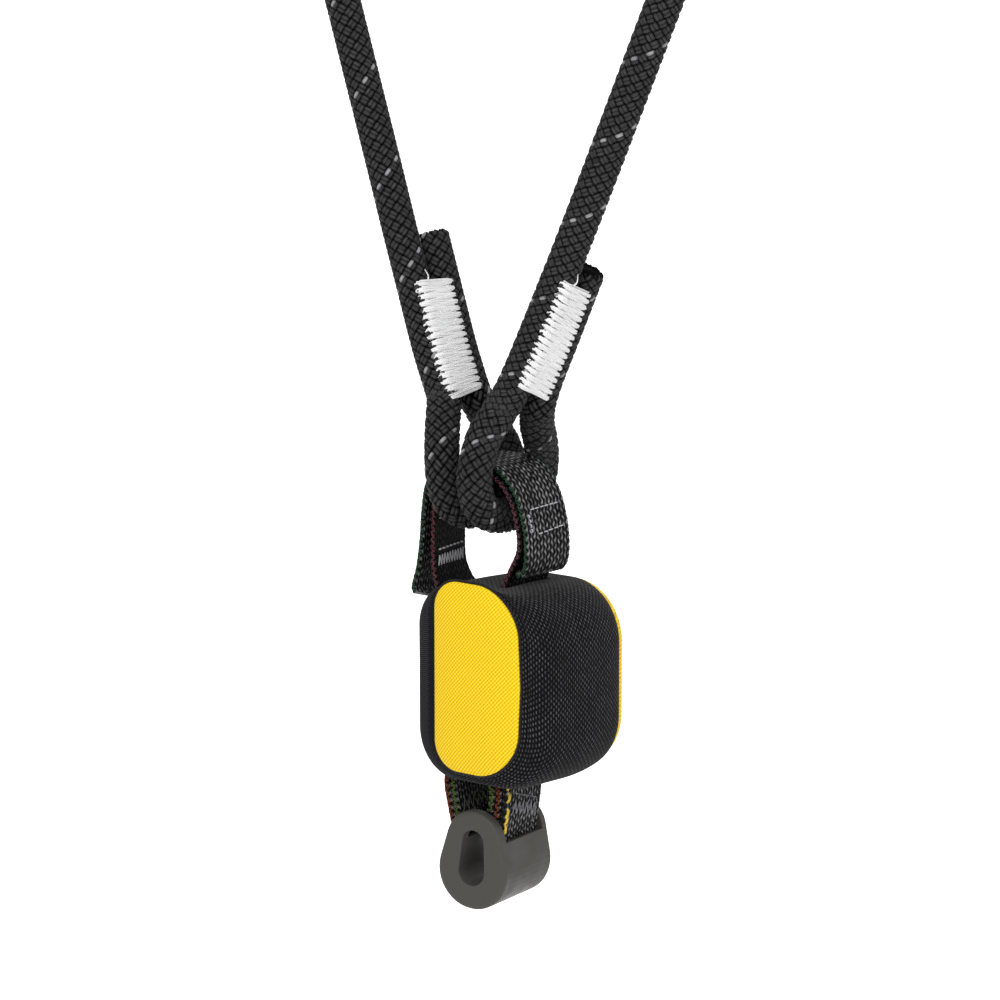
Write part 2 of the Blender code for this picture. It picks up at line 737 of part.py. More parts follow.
def join(target, other):
    modifier = target.modifiers.new("Join", "BOOLEAN")
    modifier.operation = "UNION"
    modifier.solver = "EXACT"
    modifier.object = cutter(other)


# Absorber


def tear_webbing(webbing, elastic, paper):
    """The folded webbing, as one strip that runs to and fro, with the fold that carries the connector loop."""
    r = PACK_PITCH / 2
    path = []
    for layer in range(PACK_LAYERS):
        x = PACK_LEFT + WEBBING_THICKNESS / 2 + layer * PACK_PITCH
        upwards = layer % 2 == 0
        low, high = PACK_BOTTOM + r + WEBBING_THICKNESS / 2, PACK_TOP - r - WEBBING_THICKNESS / 2
        path += [(x, low), (x, high)] if upwards else [(x, high), (x, low)]
        if layer < PACK_LAYERS - 1:
            centre = (x + r, high if upwards else low)
            turn = arc(centre, r, 180, 0, 4) if upwards else arc(centre, r, 180, 360, 4)
            path += turn[1:-1]
    points = [Vector((x, 0, z)) for x, z in path]
    frames = []
    for i, point in enumerate(points):
        along = (points[min(i + 1, len(points) - 1)] - points[max(i - 1, 0)]).normalized()
        frames.append((point, along, along.cross(Vector((0, 1, 0)))))
    strip("tear_webbing_pack", frames, WEBBING_WIDTH, WEBBING_THICKNESS, webbing)

    left, right = PACK_LEFT - GAP, PACK_LEFT + WEBBING_THICKNESS + (PACK_LAYERS - 1) * PACK_PITCH + GAP
    middle, half = (left + right) / 2, (right - left) / 2
    deep = WEBBING_WIDTH / 2 + GAP
    centre_z = (PACK_TOP + PACK_BOTTOM) / 2
    rings = []
    for wall, z in ((0, -1), (PACK_BAND_WALL, -1), (PACK_BAND_WALL, 1), (0, 1)):
        x, y = half + wall, deep + wall
        level = centre_z + z * PACK_BAND_HEIGHT / 2
        rings.append([Vector((middle + sx * x, sy * y, level)) for sx, sy in ((-1, -1), (1, -1), (1, 1), (-1, 1))])
    loft("pack_band", rings, elastic, ring_shaped=True)

    thick, wide, tall = LABEL_SIZE
    low_x = right + PACK_BAND_WALL + GAP
    outline = [(low_x, -tall / 2), (low_x + thick, -tall / 2), (low_x + thick, tall / 2), (low_x, tall / 2)]
    extrude_y("inspection_label", [(x, centre_z + z) for x, z in outline], -wide / 2, wide / 2, paper)

    fold_r = NECK_HALF_WIDTH - CONNECTOR_THICKNESS - GAP / 2 - GAP
    neck = END_FOLD_NECK / 2
    reach = math.degrees(math.asin(neck / fold_r))
    outline = [
        *arc((0.0, PIVOT_Z), fold_r, 90 + reach, 450 - reach, 20),
        (neck, PACK_BOTTOM - GAP),
        (-neck, PACK_BOTTOM - GAP),
    ]
    turned(extrude_y("tear_webbing_end_fold", outline, -WEBBING_WIDTH / 2, WEBBING_WIDTH / 2, webbing))


# Connector loop


def connector_path():
    top = PIVOT_Z + 0.0035
    left = [(-NECK_HALF_WIDTH, top), (-NECK_HALF_WIDTH, PIVOT_Z), (-NECK_HALF_WIDTH, PIVOT_Z - 0.003)]
    right = [(-x, z) for x, z in left[::-1]]
    bottom = arc(CONNECTOR_LOOP_CENTRE, CONNECTOR_LOOP_R, 195, 345, 5)
    leftwards = [*left, *CONNECTOR_WAIST, *bottom, *CONNECTOR_RISE, *right]
    return leftwards[::-1]


def connector_positioner(frames, layers, finish):
    """A pear-shaped rubber block: the webbing runs in a channel round its connector slot, between two cheeks."""
    channel_half = layers / 2 + GAP
    low_r = CONNECTOR_LOOP_R + channel_half + POSITIONER_WALL
    high = (SLOT_TOP_X, POSITIONER_TOP - POSITIONER_TOP_R)
    outline = two_circles(CONNECTOR_LOOP_CENTRE, low_r, high, POSITIONER_TOP_R)
    body = extrude_y(
        "connector_positioner", outline, -POSITIONER_HALF_DEPTH, POSITIONER_HALF_DEPTH, finish, POSITIONER_EDGE
    )
    deep = WEBBING_WIDTH / 2 + GAP
    x, z, top = low_r + 0.002, POSITIONER_SADDLE_Z, POSITIONER_TOP + 0.002
    recess = extrude_y("positioner_recess", [(-x, z), (x, z), (x, top), (-x, top)], -deep, deep, None)
    channel = strip("positioner_channel", frames, 2 * deep, 2 * channel_half, None)
    slot_high = (SLOT_TOP_X, SLOT_TOP_Z)
    slot_outline = two_circles(CONNECTOR_LOOP_CENTRE, SLOT_R, slot_high, SLOT_TOP_R, 8)
    past = POSITIONER_HALF_DEPTH + 0.002
    slot = extrude_y("positioner_slot", slot_outline, -past, past, None)
    for tool in (recess, channel, slot):
        cut(body, turned(tool))
    return body


def connector_loop(webbing, thread, yellow, rubber):
    frames = path_frames(connector_path(), steps=5)
    layers = 2 * CONNECTOR_THICKNESS + GAP
    shift = (CONNECTOR_THICKNESS + GAP) / 2
    pivot = turned(empty("connector_loop_pivot", (0.0, 0.0, PIVOT_Z)))
    over = layers / 2 + GAP + THREAD_D / 2
    half = WEBBING_WIDTH / 2 - 0.0025
    pieces = [
        strip("connector_loop_inner_webbing", frames, WEBBING_WIDTH, CONNECTOR_THICKNESS, webbing, -shift),
        strip("connector_loop_outer_webbing", frames, WEBBING_WIDTH, CONNECTOR_THICKNESS, webbing, shift),
        thread_on("connector_loop_left_stitching", frames, zigzag(0.81, 0.87, half, 3), -over, thread),
        thread_on("connector_loop_right_stitching", frames, zigzag(0.13, 0.19, half, 3), over, thread),
    ]
    side = -WEBBING_WIDTH / 2 + 0.0012
    marks = line((0.07, side), (0.20, side), 8)
    pieces.append(thread_on("yellow_indicator_stitching", frames, marks, over, yellow))
    pieces.append(connector_positioner(frames, layers, rubber))
    hang_on(pivot, *pieces)


def build():
    clear_scene()
    rope = material("black_rope", (0.020, 0.020, 0.022), 0.75)
    white = material("white_thread", (0.85, 0.85, 0.85), 0.6)
    grey_thread = material("grey_thread", (0.35, 0.35, 0.36), 0.6)
    yellow_thread = material("yellow_thread", (0.80, 0.62, 0.08), 0.6)
    webbing = material("black_webbing", (0.022, 0.022, 0.024), 0.6)
    cover = material("black_cover_fabric", (0.018, 0.018, 0.020), 0.8)
    yellow = material("yellow_cover_fabric", (0.90, 0.62, 0.01), 0.6)
    elastic = material("grey_elastic", (0.10, 0.10, 0.11), 0.8)
    paper = material("white_label", (0.80, 0.80, 0.78), 0.7)
    rubber = material("grey_rubber", (0.075, 0.075, 0.078), 0.6)
    metal = material("zip_metal", (0.30, 0.30, 0.31), 0.35, 1.0)

    arm("left", LEFT_TAIL, LEFT_EYE, LEFT_STANDING, LEFT_UPPER_START, LEFT_LEAN, LEFT_TACK_Z, (rope, white, rubber))
    arm(
        "right", RIGHT_TAIL, RIGHT_EYE, RIGHT_STANDING, RIGHT_UPPER_START, RIGHT_LEAN, RIGHT_TACK_Z,
        (rope, white, rubber),
    )
    inner_frames = attachment_loop(webbing, grey_thread)
    pouch_wrap(inner_frames, cover)
    end_piece("front", -1, (FRONT_CENTRE, FRONT_HALF, FRONT_R), FRONT_DOME, (yellow, cover))
    end_piece("rear", 1, (REAR_CENTRE, REAR_HALF, REAR_R), REAR_DOME, (yellow, cover))
    zip_closure(cover, cover, metal)
    tear_webbing(webbing, elastic, paper)
    connector_loop(webbing, grey_thread, yellow_thread, rubber)


build()
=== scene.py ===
"""Looks of the y lanyard. Metres, +Z up, in the frame of the CAD. X runs from the left arm to the right arm, and Y is
the width direction of the webbing."""

import math

import bpy
import numpy as np
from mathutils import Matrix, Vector


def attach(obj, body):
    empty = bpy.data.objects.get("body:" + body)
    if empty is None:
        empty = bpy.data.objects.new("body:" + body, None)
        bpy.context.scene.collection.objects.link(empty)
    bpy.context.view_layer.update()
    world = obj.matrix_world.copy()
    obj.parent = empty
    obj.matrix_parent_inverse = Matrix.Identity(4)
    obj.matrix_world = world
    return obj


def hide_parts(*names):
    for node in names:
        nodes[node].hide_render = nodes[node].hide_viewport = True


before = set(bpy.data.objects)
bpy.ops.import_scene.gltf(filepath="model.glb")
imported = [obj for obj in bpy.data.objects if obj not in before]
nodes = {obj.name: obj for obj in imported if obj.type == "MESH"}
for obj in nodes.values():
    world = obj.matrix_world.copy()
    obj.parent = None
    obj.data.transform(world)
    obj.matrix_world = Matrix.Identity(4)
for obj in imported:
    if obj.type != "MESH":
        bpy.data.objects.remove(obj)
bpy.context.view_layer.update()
draw = np.random.default_rng(7)
MM = 0.001
WAVE_PITCH = 0.0024  # how the webbing's ribs wind

# ---------------------------------------------------------------- sizes shared with the CAD
WEBBING_WIDTH = 0.0215
WEBBING_THICKNESS = 0.0018
LEG_PITCH = 0.0121
PAIR_Y = -0.0020
GAP = 0.0003
EYE_HALF_WIDTH = 0.0170
UPPER_TACK_LENGTH = 0.038
UPPER_EYE_LENGTH = 0.041
UPPER_TAIL = 0.008
PIVOT_Z = -0.0790
PACK_LEFT = -0.0090
PACK_LAYERS = 15
PACK_PITCH = 0.0027
PACK_TOP = -0.0366
PACK_BOTTOM = -0.0700
BAND_WALL = 0.0010
BAND_HEIGHT = 0.0120
LABEL_SIZE = (0.0005, 0.0240, 0.0320)

LEFT_ROUTE = [
    (-0.0281, 0.0032, 0.0860), (-0.0231, 0.0032, 0.0710), (-0.0169, 0.0032, 0.0526), (-0.0127, 0.0032, 0.0420),
    (-0.0106, 0.0038, 0.0362), (-0.0107, 0.0084, 0.0298), (-0.0104, 0.0139, 0.0232), (-0.0090, 0.0165, 0.0180),
    (-0.0074, 0.0167, 0.0125), (-0.0064, 0.0142, 0.0055), (-0.0060, 0.0080, 0.0012), (-0.0060, 0.0000, 0.0000),
    (-0.0060, -0.0080, 0.0010), (-0.0059, -0.0142, 0.0055), (-0.0059, -0.0169, 0.0130), (-0.0066, -0.0166, 0.0200),
    (-0.0090, -0.0136, 0.0270), (-0.0111, -0.0106, 0.0320), (-0.0129, -0.0083, 0.0365), (-0.0154, -0.0080, 0.0423),
    (-0.0195, -0.0080, 0.0526), (-0.0257, -0.0080, 0.0710), (-0.0320, -0.0080, 0.0897), (-0.0382, -0.0080, 0.1087),
    (-0.0485, -0.0080, 0.1396),
]
RIGHT_ROUTE = [
    (0.0357, 0.0030, 0.0790), (0.0319, 0.0030, 0.0710), (0.0256, 0.0030, 0.0575), (0.0195, 0.0029, 0.0445),
    (0.0164, 0.0032, 0.0370), (0.0131, 0.0062, 0.0322), (0.0102, 0.0098, 0.0272), (0.0076, 0.0142, 0.0230),
    (0.0060, 0.0170, 0.0172), (0.0056, 0.0167, 0.0110), (0.0058, 0.0135, 0.0048), (0.0060, 0.0075, 0.0011),
    (0.0060, 0.0000, 0.0000), (0.0060, -0.0080, 0.0010), (0.0063, -0.0142, 0.0055), (0.0069, -0.0169, 0.0130),
    (0.0076, -0.0166, 0.0190), (0.0083, -0.0140, 0.0265), (0.0098, -0.0116, 0.0310), (0.0118, -0.0089, 0.0360),
    (0.0150, -0.0080, 0.0415), (0.0192, -0.0080, 0.0490), (0.0238, -0.0080, 0.0580), (0.0338, -0.0080, 0.0782),
    (0.0435, -0.0080, 0.0985), (0.0530, -0.0080, 0.1188), (0.0683, -0.0080, 0.1519),
]
# Each arm: route, upper stitching's start (x, z), lean in degrees, heights of the lower stitching, places of the lower
# tail and of the standing part in the route, the braid's lead and turn, and how far the lower stitching stands off the
# middle and leans along the rope
ARMS = {
    "left": (LEFT_ROUTE, (-0.0588, 0.1705), -18.4, (0.0357, 0.0717), 9, 14, (0.0298, 2.997), (-1.55, 0.0, 0.0)),
    "right": (RIGHT_ROUTE, (0.0837, 0.1850), 25.4, (0.0420, 0.0774), 9, 15, (0.0272, 0.023), (-1.90, -0.9, -0.42)),
}

INNER_LOOP_PATH = [
    (-0.0092, -0.0360), (-0.0106, -0.0310), (-0.0138, -0.0252), (-0.0155, -0.0180), (-0.0157, -0.0100),
    (-0.0154, 0.0000), (-0.0146, 0.0070), (-0.0112, 0.0124), (-0.0050, 0.0148), (0.0050, 0.0148),
    (0.0112, 0.0122), (0.0162, 0.0062), (0.0188, -0.0020), (0.0190, -0.0090), (0.0160, -0.0150),
    (0.0132, -0.0210), (0.0128, -0.0280), (0.0128, -0.0360),
]
OUTER_LOOP_PATH = [
    (-0.0236, -0.0274), (-0.0242, -0.0254), (-0.0222, -0.0190), (-0.0207, -0.0100), (-0.0199, 0.0000),
    (-0.0184, 0.0082), (-0.0134, 0.0148), (-0.0056, 0.0170), (0.0056, 0.0170), (0.0128, 0.0144), (0.0184, 0.0078),
    (0.0215, -0.0015), (0.0223, -0.0090), (0.0217, -0.0140), (0.0195, -0.0168), (0.0184, -0.0150),
]
CONNECTOR_YAW = math.radians(8)
CONNECTOR_THICKNESS = 0.0022
NECK_HALF_WIDTH = 0.0088
LOOP_CENTRE = (0.0010, -0.1135)
LOOP_R = 0.0086
CONNECTOR_WAIST = [(-0.0096, -0.0870), (-0.0080, -0.0955), (-0.0067, -0.1015), (-0.0068, -0.1075)]
CONNECTOR_RISE = [(0.0088, -0.1075), (0.0080, -0.1025), (0.0090, -0.0960), (0.0099, -0.0880)]
CONNECTOR_MOUTH = (0.0138, 0.0115)
END_FOLD_NECK = 0.0042
LAP_TOP, LAP_BOTTOM = -0.0840, -0.0952  # the sewn-in end of the connector loop's inner webbing
ZIP_TAPE_WIDTH = 0.0065
ZIP_TAPE_THICKNESS = 0.0010
ZIP_COIL_WIDTH = 0.0030
ZIP_COIL_PITCH = 0.0011
# How much narrower and thinner the webbings are than their solids
DRAWN_SIDE = 0.0004
DRAWN_FACE = 0.00012
THREAD_SEAT = 0.00006  # how high the middles of the seams' threads lie over the solids' faces

# The pouch's outlines: centre, half sizes, and corner radii on the left and right
POUCH_HALF_DEPTH = 0.0210
FRONT_END = ((0.0105, -0.0490), (0.0161, 0.0306), (0.0095, 0.0150))
MIDDLE = ((0.0113, -0.0521), (0.0277, 0.0315), (0.0165, 0.0180))
REAR_END = ((0.0117, -0.0527), (0.0226, 0.0307), (0.0150, 0.0190))
FRONT_BULGE = 0.0030  # of the front end's right side, at mid height
FRONT_FULLNESS = 4.6
REAR_FULLNESS = 1.7
BINDING = 0.0026
POUCH_WALL = 0.0016
FRONT_DOME = 0.0020
REAR_DOME = 0.0036
PANEL_EDGES = (0.0006, 0.0010)
SEAM_RADII = (0.00042, 0.00028)
SEAM_INSETS = (-0.0001, 0.0002)
CREASE_DEPTH = 0.00020
BINDING_EDGE, BINDING_RISE = 0.0003, 0.00022
GROOVE_HALF, GROOVE_DEPTH = 0.00035, 0.00025
# Where the attachment loop goes through the cover: X and Z from and to
LOOP_SLOTS = (((-0.0182, -0.0100), (-0.0325, -0.0150)), ((0.0112, 0.0148), (-0.0300, -0.0150)))


# ---------------------------------------------------------------- camera and light
def add_object(name, data):
    obj = bpy.data.objects.new(name, data)
    bpy.context.scene.collection.objects.link(obj)
    return obj


def aim(obj, at):
    obj.rotation_euler = (Vector(at) - obj.location).to_track_quat("-Z", "Y").to_euler()


VIEW_AT = Vector((0.0031, 0.0, 0.0042))
VIEW_AZIMUTH = math.radians(40)
VIEW_ELEVATION = math.radians(10)
VIEW_DISTANCE = 1.2
PIXELS_PER_METRE = 3180.0
PICTURE_WIDTH = 1000
SENSOR_WIDTH = 36.0


def set_camera():
    lens = bpy.data.cameras.new("camera")
    lens.sensor_width = SENSOR_WIDTH
    lens.lens = SENSOR_WIDTH * VIEW_DISTANCE / (PICTURE_WIDTH / PIXELS_PER_METRE)
    lens.clip_start = 0.05
    camera = add_object("camera", lens)
    flat = math.cos(VIEW_ELEVATION)
    toward = Vector((math.sin(VIEW_AZIMUTH) * flat, -math.cos(VIEW_AZIMUTH) * flat, math.sin(VIEW_ELEVATION)))
    camera.location = VIEW_AT + toward * VIEW_DISTANCE
    aim(camera, VIEW_AT)
    bpy.context.scene.camera = camera


def add_lamp(name, place, size, power):
    lamp = bpy.data.lights.new(name, "AREA")
    lamp.shape = "RECTANGLE"
    lamp.size, lamp.size_y = size
    lamp.energy = power
    obj = add_object(name, lamp)
    obj.location = place
    aim(obj, (0.0, 0.0, 0.02))


# ---------------------------------------------------------------- materials
THREAD_TWIST = 0.0009
WEB_ROWS = 0.0016417  # the painted ribs' pitch across a webbing, which is that of its modelled ribs
WEB_FLOAT = 0.0024
TWILL_PITCH = 0.0009


def paint(code):
    """A colour written in sRGB hexadecimal, as linear values."""
    parts = [int(code[i:i + 2], 16) / 255 for i in (0, 2, 4)]
    return (*[c / 12.92 if c <= 0.04045 else ((c + 0.055) / 1.055) ** 2.4 for c in parts], 1.0)


class Value:
    """A node's output, with which arithmetic adds math nodes."""

    def __init__(self, graph, socket):
        self.graph, self.socket = graph, socket

    def __add__(self, other):
        return self.graph.math("ADD", self, other)

    def __sub__(self, other):
        return self.graph.math("SUBTRACT", self, other)

    def __rsub__(self, other):
        return self.graph.math("SUBTRACT", other, self)

    def __mul__(self, other):
        return self.graph.math("MULTIPLY", self, other)

    def __truediv__(self, other):
        return self.graph.math("DIVIDE", self, other)

    def __mod__(self, other):
        return self.graph.math("MODULO", self, other)


class Graph:
    """Short calls for building a material's nodes."""

    def __init__(self, name, roughness, specular=0.5, sheen=0.0, metallic=0.0):
        self.material = bpy.data.materials.new(name)
        self.material.use_nodes = True
        self.tree = self.material.node_tree
        self.shader = self.tree.nodes["Principled BSDF"]
        for key, value in (
            ("Roughness", roughness), ("Metallic", metallic), ("Specular IOR Level", specular),
            ("Sheen Weight", sheen), ("Sheen Roughness", 0.4),
        ):
            self.shader.inputs[key].default_value = value

    def put(self, socket, value):
        if isinstance(value, Value):
            self.tree.links.new(value.socket, socket)
        else:
            socket.default_value = value

    def node(self, kind, inputs=(), output=0, **settings):
        """One output of a new node, whose inputs are given in their order or by name."""
        node = self.tree.nodes.new("ShaderNode" + kind)
        for key, value in settings.items():
            setattr(node, key, value)
        for key, value in inputs.items() if isinstance(inputs, dict) else enumerate(inputs):
            self.put(node.inputs[key], value)
        return Value(self, node.outputs[output])

    def math(self, operation, *values, clamp=False):
        return self.node("Math", values, operation=operation, use_clamp=clamp)

    def split(self, vector):
        return [Value(self, part) for part in self.node("SeparateXYZ", [vector]).socket.node.outputs]

    def uv(self):
        return self.split(self.node("TexCoord", output="UV"))[:2]

    def place(self):
        return self.node("TexCoord", output="Object")

    def noise(self, vector, scale, detail=2.0, roughness=0.5):
        inputs = {"Vector": vector, "Scale": scale, "Detail": detail, "Roughness": roughness}
        return self.node("TexNoise", inputs, "Fac")

    def grain(self, u, v):
        """Noise over a flat pattern."""
        return self.noise(self.node("CombineXYZ", (u, v)), 1.0)

    def step(self, value, low, high, out_low=0.0, out_high=1.0):
        return self.node("MapRange", (value, low, high, out_low, out_high), interpolation_type="SMOOTHSTEP")

    def wave(self, value, pitch=1.0):
        """1 at the middle of each period and 0 between, as a raised cosine."""
        return self.math("COSINE", value * (2 * math.pi / pitch)) * 0.5 + 0.5

    def mix(self, share, a, b):
        a, b = (paint(c) if isinstance(c, str) else c for c in (a, b))
        return self.node("Mix", {0: share, 6: a, 7: b}, 2, data_type="RGBA")

    def rough(self, value):
        self.put(self.shader.inputs["Roughness"], value)

    def finish(self, colour, height, distance, strength=1.0):
        """Colours the surface and raises it in the shading."""
        self.put(self.shader.inputs["Base Color"], colour)
        bump = self.node("Bump", {"Strength": strength, "Distance": distance, "Height": height})
        self.put(self.shader.inputs["Normal"], bump)
        return self.material


def yarn_material(name, dark, light, roughness=0.42):
    """A bundle of fine filaments: u runs along the yarn in metres, v round it from 0 to 1. Painted light and shade:
    lighter on the yarn's crown, near-black on its sides and where it dives under the crossing yarns.
    """
    g = Graph(name, roughness, 0.02)
    u, v = g.uv()
    fine = g.noise(g.node("CombineXYZ", (u * 90.0, v * 26.0)), 1.0, 2.0, 0.6)
    share = g.math("ADD", g.step(fine, 0.35, 0.7) * 0.75, g.noise(g.place(), 260.0) * 0.35, clamp=True)
    # Painted light and shade: the colour is lighter on the yarn's crown and falls to the near-black 020202 on its sides
    # and where the yarn dives under a crossing one, read from its height in the mesh's per-point attribute.
    crown_light = g.step(g.wave(v - 0.25), 0.30, 0.95)
    lift_light = g.step(g.node("Attribute", output="Fac", attribute_name="shade_height"), 0.15, 0.95)
    colour = g.mix(crown_light * lift_light * 0.92 + 0.08, "020202", g.mix(share, dark, light))
    return g.finish(colour, fine, 0.00018, 0.7)


def thread_material(name, dark, light):
    """A twisted sewing thread: u runs along it in metres, v round it from 0 to 1."""
    g = Graph(name, 0.5, 0.10)
    u, v = g.uv()
    ply = g.wave(u * (1 / THREAD_TWIST) + v * 3.0)
    share = g.math("ADD", ply * 0.75, g.noise(g.place(), 2600.0) * 0.3, clamp=True)
    return g.finish(g.mix(share, dark, light), ply, 0.00012, 0.8)


def webbing_material(name, dark, light):
    """Lengthwise ribs broken into short floats: u runs along the webbing and v across it, in metres. The light colour,
    on the floats' tops, is painted sheen.
    """
    g = Graph(name, 0.55, 0.02)
    u, v = g.uv()
    across = v + g.math("SINE", u * (2 * math.pi / WAVE_PITCH)) * 0.00026
    rows = across / WEB_ROWS
    odd = g.math("FLOOR", rows + 100.5) % 2.0
    ribs = g.wave(rows)
    floats = g.wave(u / WEB_FLOAT + odd * 0.5)
    loose = g.grain(u * 520.0, across * 3600.0)
    # Painted sheen: the light colour lies on the ribs' tops, along the floats.
    top = g.step(ribs, 0.20, 0.90) * (floats * 0.55 + 0.45)
    strands = floats * 0.16 + loose + g.noise(g.place(), 180.0, 3.0) * 0.5
    share = top * g.step(strands, 0.64, 1.06)
    return g.finish(g.mix(share, dark, light), ribs * 0.6 + top * 0.5 + loose * 0.3, 0.00030)


def cover_material(name, dark, light, column=0.00098, row=0.0019, bound=False):
    """A coated weave with short light floats in staggered columns: u runs along the depth and v round the cover, in
    metres. A bound cover has a smooth binding, a sewn line and a ribbed tape beside it along its front left rim."""
    g = Graph(name, 0.60, 0.0, 0.10)
    u, v = g.uv()
    columns = (u + (g.noise(g.place(), 260.0) - 0.5) * 0.0007) / column
    odd = g.math("FLOOR", columns + 200.5) % 2.0
    floats = g.wave(v / row + odd * 0.5)
    fine = g.grain(u * 2600.0, v * 2600.0)
    uneven = g.step(g.noise(g.place(), 900.0), 0.35, 0.65, 0.35, 1.0)
    top = g.step(g.wave(columns), 0.30, 0.95) * g.step(floats, 0.25, 0.75) * uneven
    share = top * g.step(fine + g.noise(g.place(), 90.0, 3.0) * 0.6, 0.30, 1.0)
    height = top * 0.8 + fine * 0.25
    if bound:
        rim = g.step(g.split(g.place())[0], 0.0, 0.004, 1.0, 0.0) * g.step(u, 0.0085, 0.0105, 1.0, 0.0)
        ribs = g.wave(v, 0.00072)
        sewn = g.step(g.math("ABSOLUTE", u - BINDING), 0.0002, 0.0005, 1.0, 0.0) * g.wave(v, 0.0022)
        tape = ribs * g.step(u, BINDING, BINDING + 0.0004, 0.08, 0.34) * (1.0 - sewn)
        share = share * (1.0 - rim) + tape * rim
        height = height * (1.0 - rim) + ribs * rim
    return g.finish(g.mix(share, dark, light), height, 0.00018, 0.9)


def twill_material(name, dark, light):
    """Diagonal ridges over a fine weave: u and v are metres on the panel."""
    g = Graph(name, 0.5, 0.12)
    u, v = g.uv()
    wander = (g.noise(g.place(), 220.0) - 0.5) * 0.0003
    ridge = g.wave(v - u + wander, TWILL_PITCH * math.sqrt(2.0))
    yarn = g.wave(u + v + wander, TWILL_PITCH * 1.7)
    fine = g.noise(g.place(), 2600.0)
    height = ridge * 0.65 + yarn * 0.35
    share = g.math("ADD", g.step(height, 0.1, 0.8) * 0.85, fine * 0.25, clamp=True)
    return g.finish(g.mix(share, dark, light), height + fine * 0.2, 0.00018, 0.8)


def rubber_material(name, dark, light):
    g = Graph(name, 0.5, 0.16)
    grain, cloud = g.noise(g.place(), 2400.0, 3.0, 0.6), g.noise(g.place(), 130.0, 3.0)
    g.rough(g.step(cloud, 0.3, 0.7, 0.42, 0.62))
    return g.finish(g.mix(grain * 0.5 + cloud * 0.5, dark, light), grain + cloud, 0.00012, 0.5)


def metal_material(name, dark, light):
    g = Graph(name, 0.35, metallic=1.0)
    fine = g.noise(g.place(), 1500.0, 3.0, 0.6)
    g.rough(g.step(fine, 0.3, 0.7, 0.28, 0.46))
    return g.finish(g.mix(g.noise(g.place(), 260.0, 3.0), dark, light), fine, 0.00005, 0.5)


def elastic_material(name, dark, light):
    g = Graph(name, 0.75, sheen=0.2)
    u, v = g.uv()
    ribs, cross = g.wave(v, 0.0011), g.wave(u, 0.0006)
    return g.finish(g.mix(ribs * cross, dark, light), ribs + cross, 0.00015, 0.7)


def label_material(name, dark, light):
    g = Graph(name, 0.6, sheen=0.1)
    u, v = g.uv()
    weft = g.wave(u, 0.0003) * g.wave(v, 0.0003)
    return g.finish(g.mix(weft * 0.5 + g.noise(g.place(), 120.0, 3.0) * 0.5, dark, light), weft, 0.00005, 0.5)


ROPE_YARN = yarn_material("rope_yarn", "1e1e1e", "4e4e4f")
ROPE_TRACER = yarn_material("rope_tracer", "6a6a6e", "b4b4b6")
# The core is coloured near-black, darker than the yarns, as painted shade in the grooves between them.
ROPE_CORE_SHADE = yarn_material("rope_core_shade", "050505", "0a0a0b", 0.9)
WHITE_THREAD = thread_material("white_thread", "eaeaea", "ffffff")
GREY_THREAD = thread_material("grey_thread", "84848a", "d6d6da")
DIM_THREAD = thread_material("dim_thread", "58585c", "98989e")
DARK_THREAD = thread_material("dark_thread", "2c2c2c", "66665f")
YELLOW_THREAD = thread_material("yellow_thread", "b08c14", "f0d24a")
SEAM_THREAD = thread_material("seam_thread", "0c0c0e", "242428")
# The webbings' light colours are painted sheen on their floats; the second webbing has a fainter painted sheen.
WEBBING = webbing_material("webbing", "0e0e0e", "969698")
FAINT_SHEEN_WEBBING = webbing_material("faint_sheen_webbing", "0b0b0c", "3e3e40")
GREEN_EDGE = thread_material("green_edge", "14261a", "386044")
RED_EDGE = thread_material("red_edge", "301a1e", "804a54")
LIME_EDGE = thread_material("lime_edge", "22300e", "6c8434")
ORANGE_EDGE = thread_material("orange_edge", "3c180c", "9c4c26")
COVER = cover_material("cover", "131314", "5e5e62", bound=True)
TAPE = cover_material("tape", "101012", "2e2e32", 0.0007, 0.0005)
YELLOW_COVER = twill_material("yellow_cover", "d89e06", "fedd28")
RUBBER = rubber_material("rubber", "3b3a37", "4d4c48")
METAL = metal_material("zip_metal", "6c6c6e", "a2a2a4")
ELASTIC = elastic_material("elastic", "38383a", "6c6c6e")
LABEL = label_material("label", "d8d8d2", "f2f2ee")


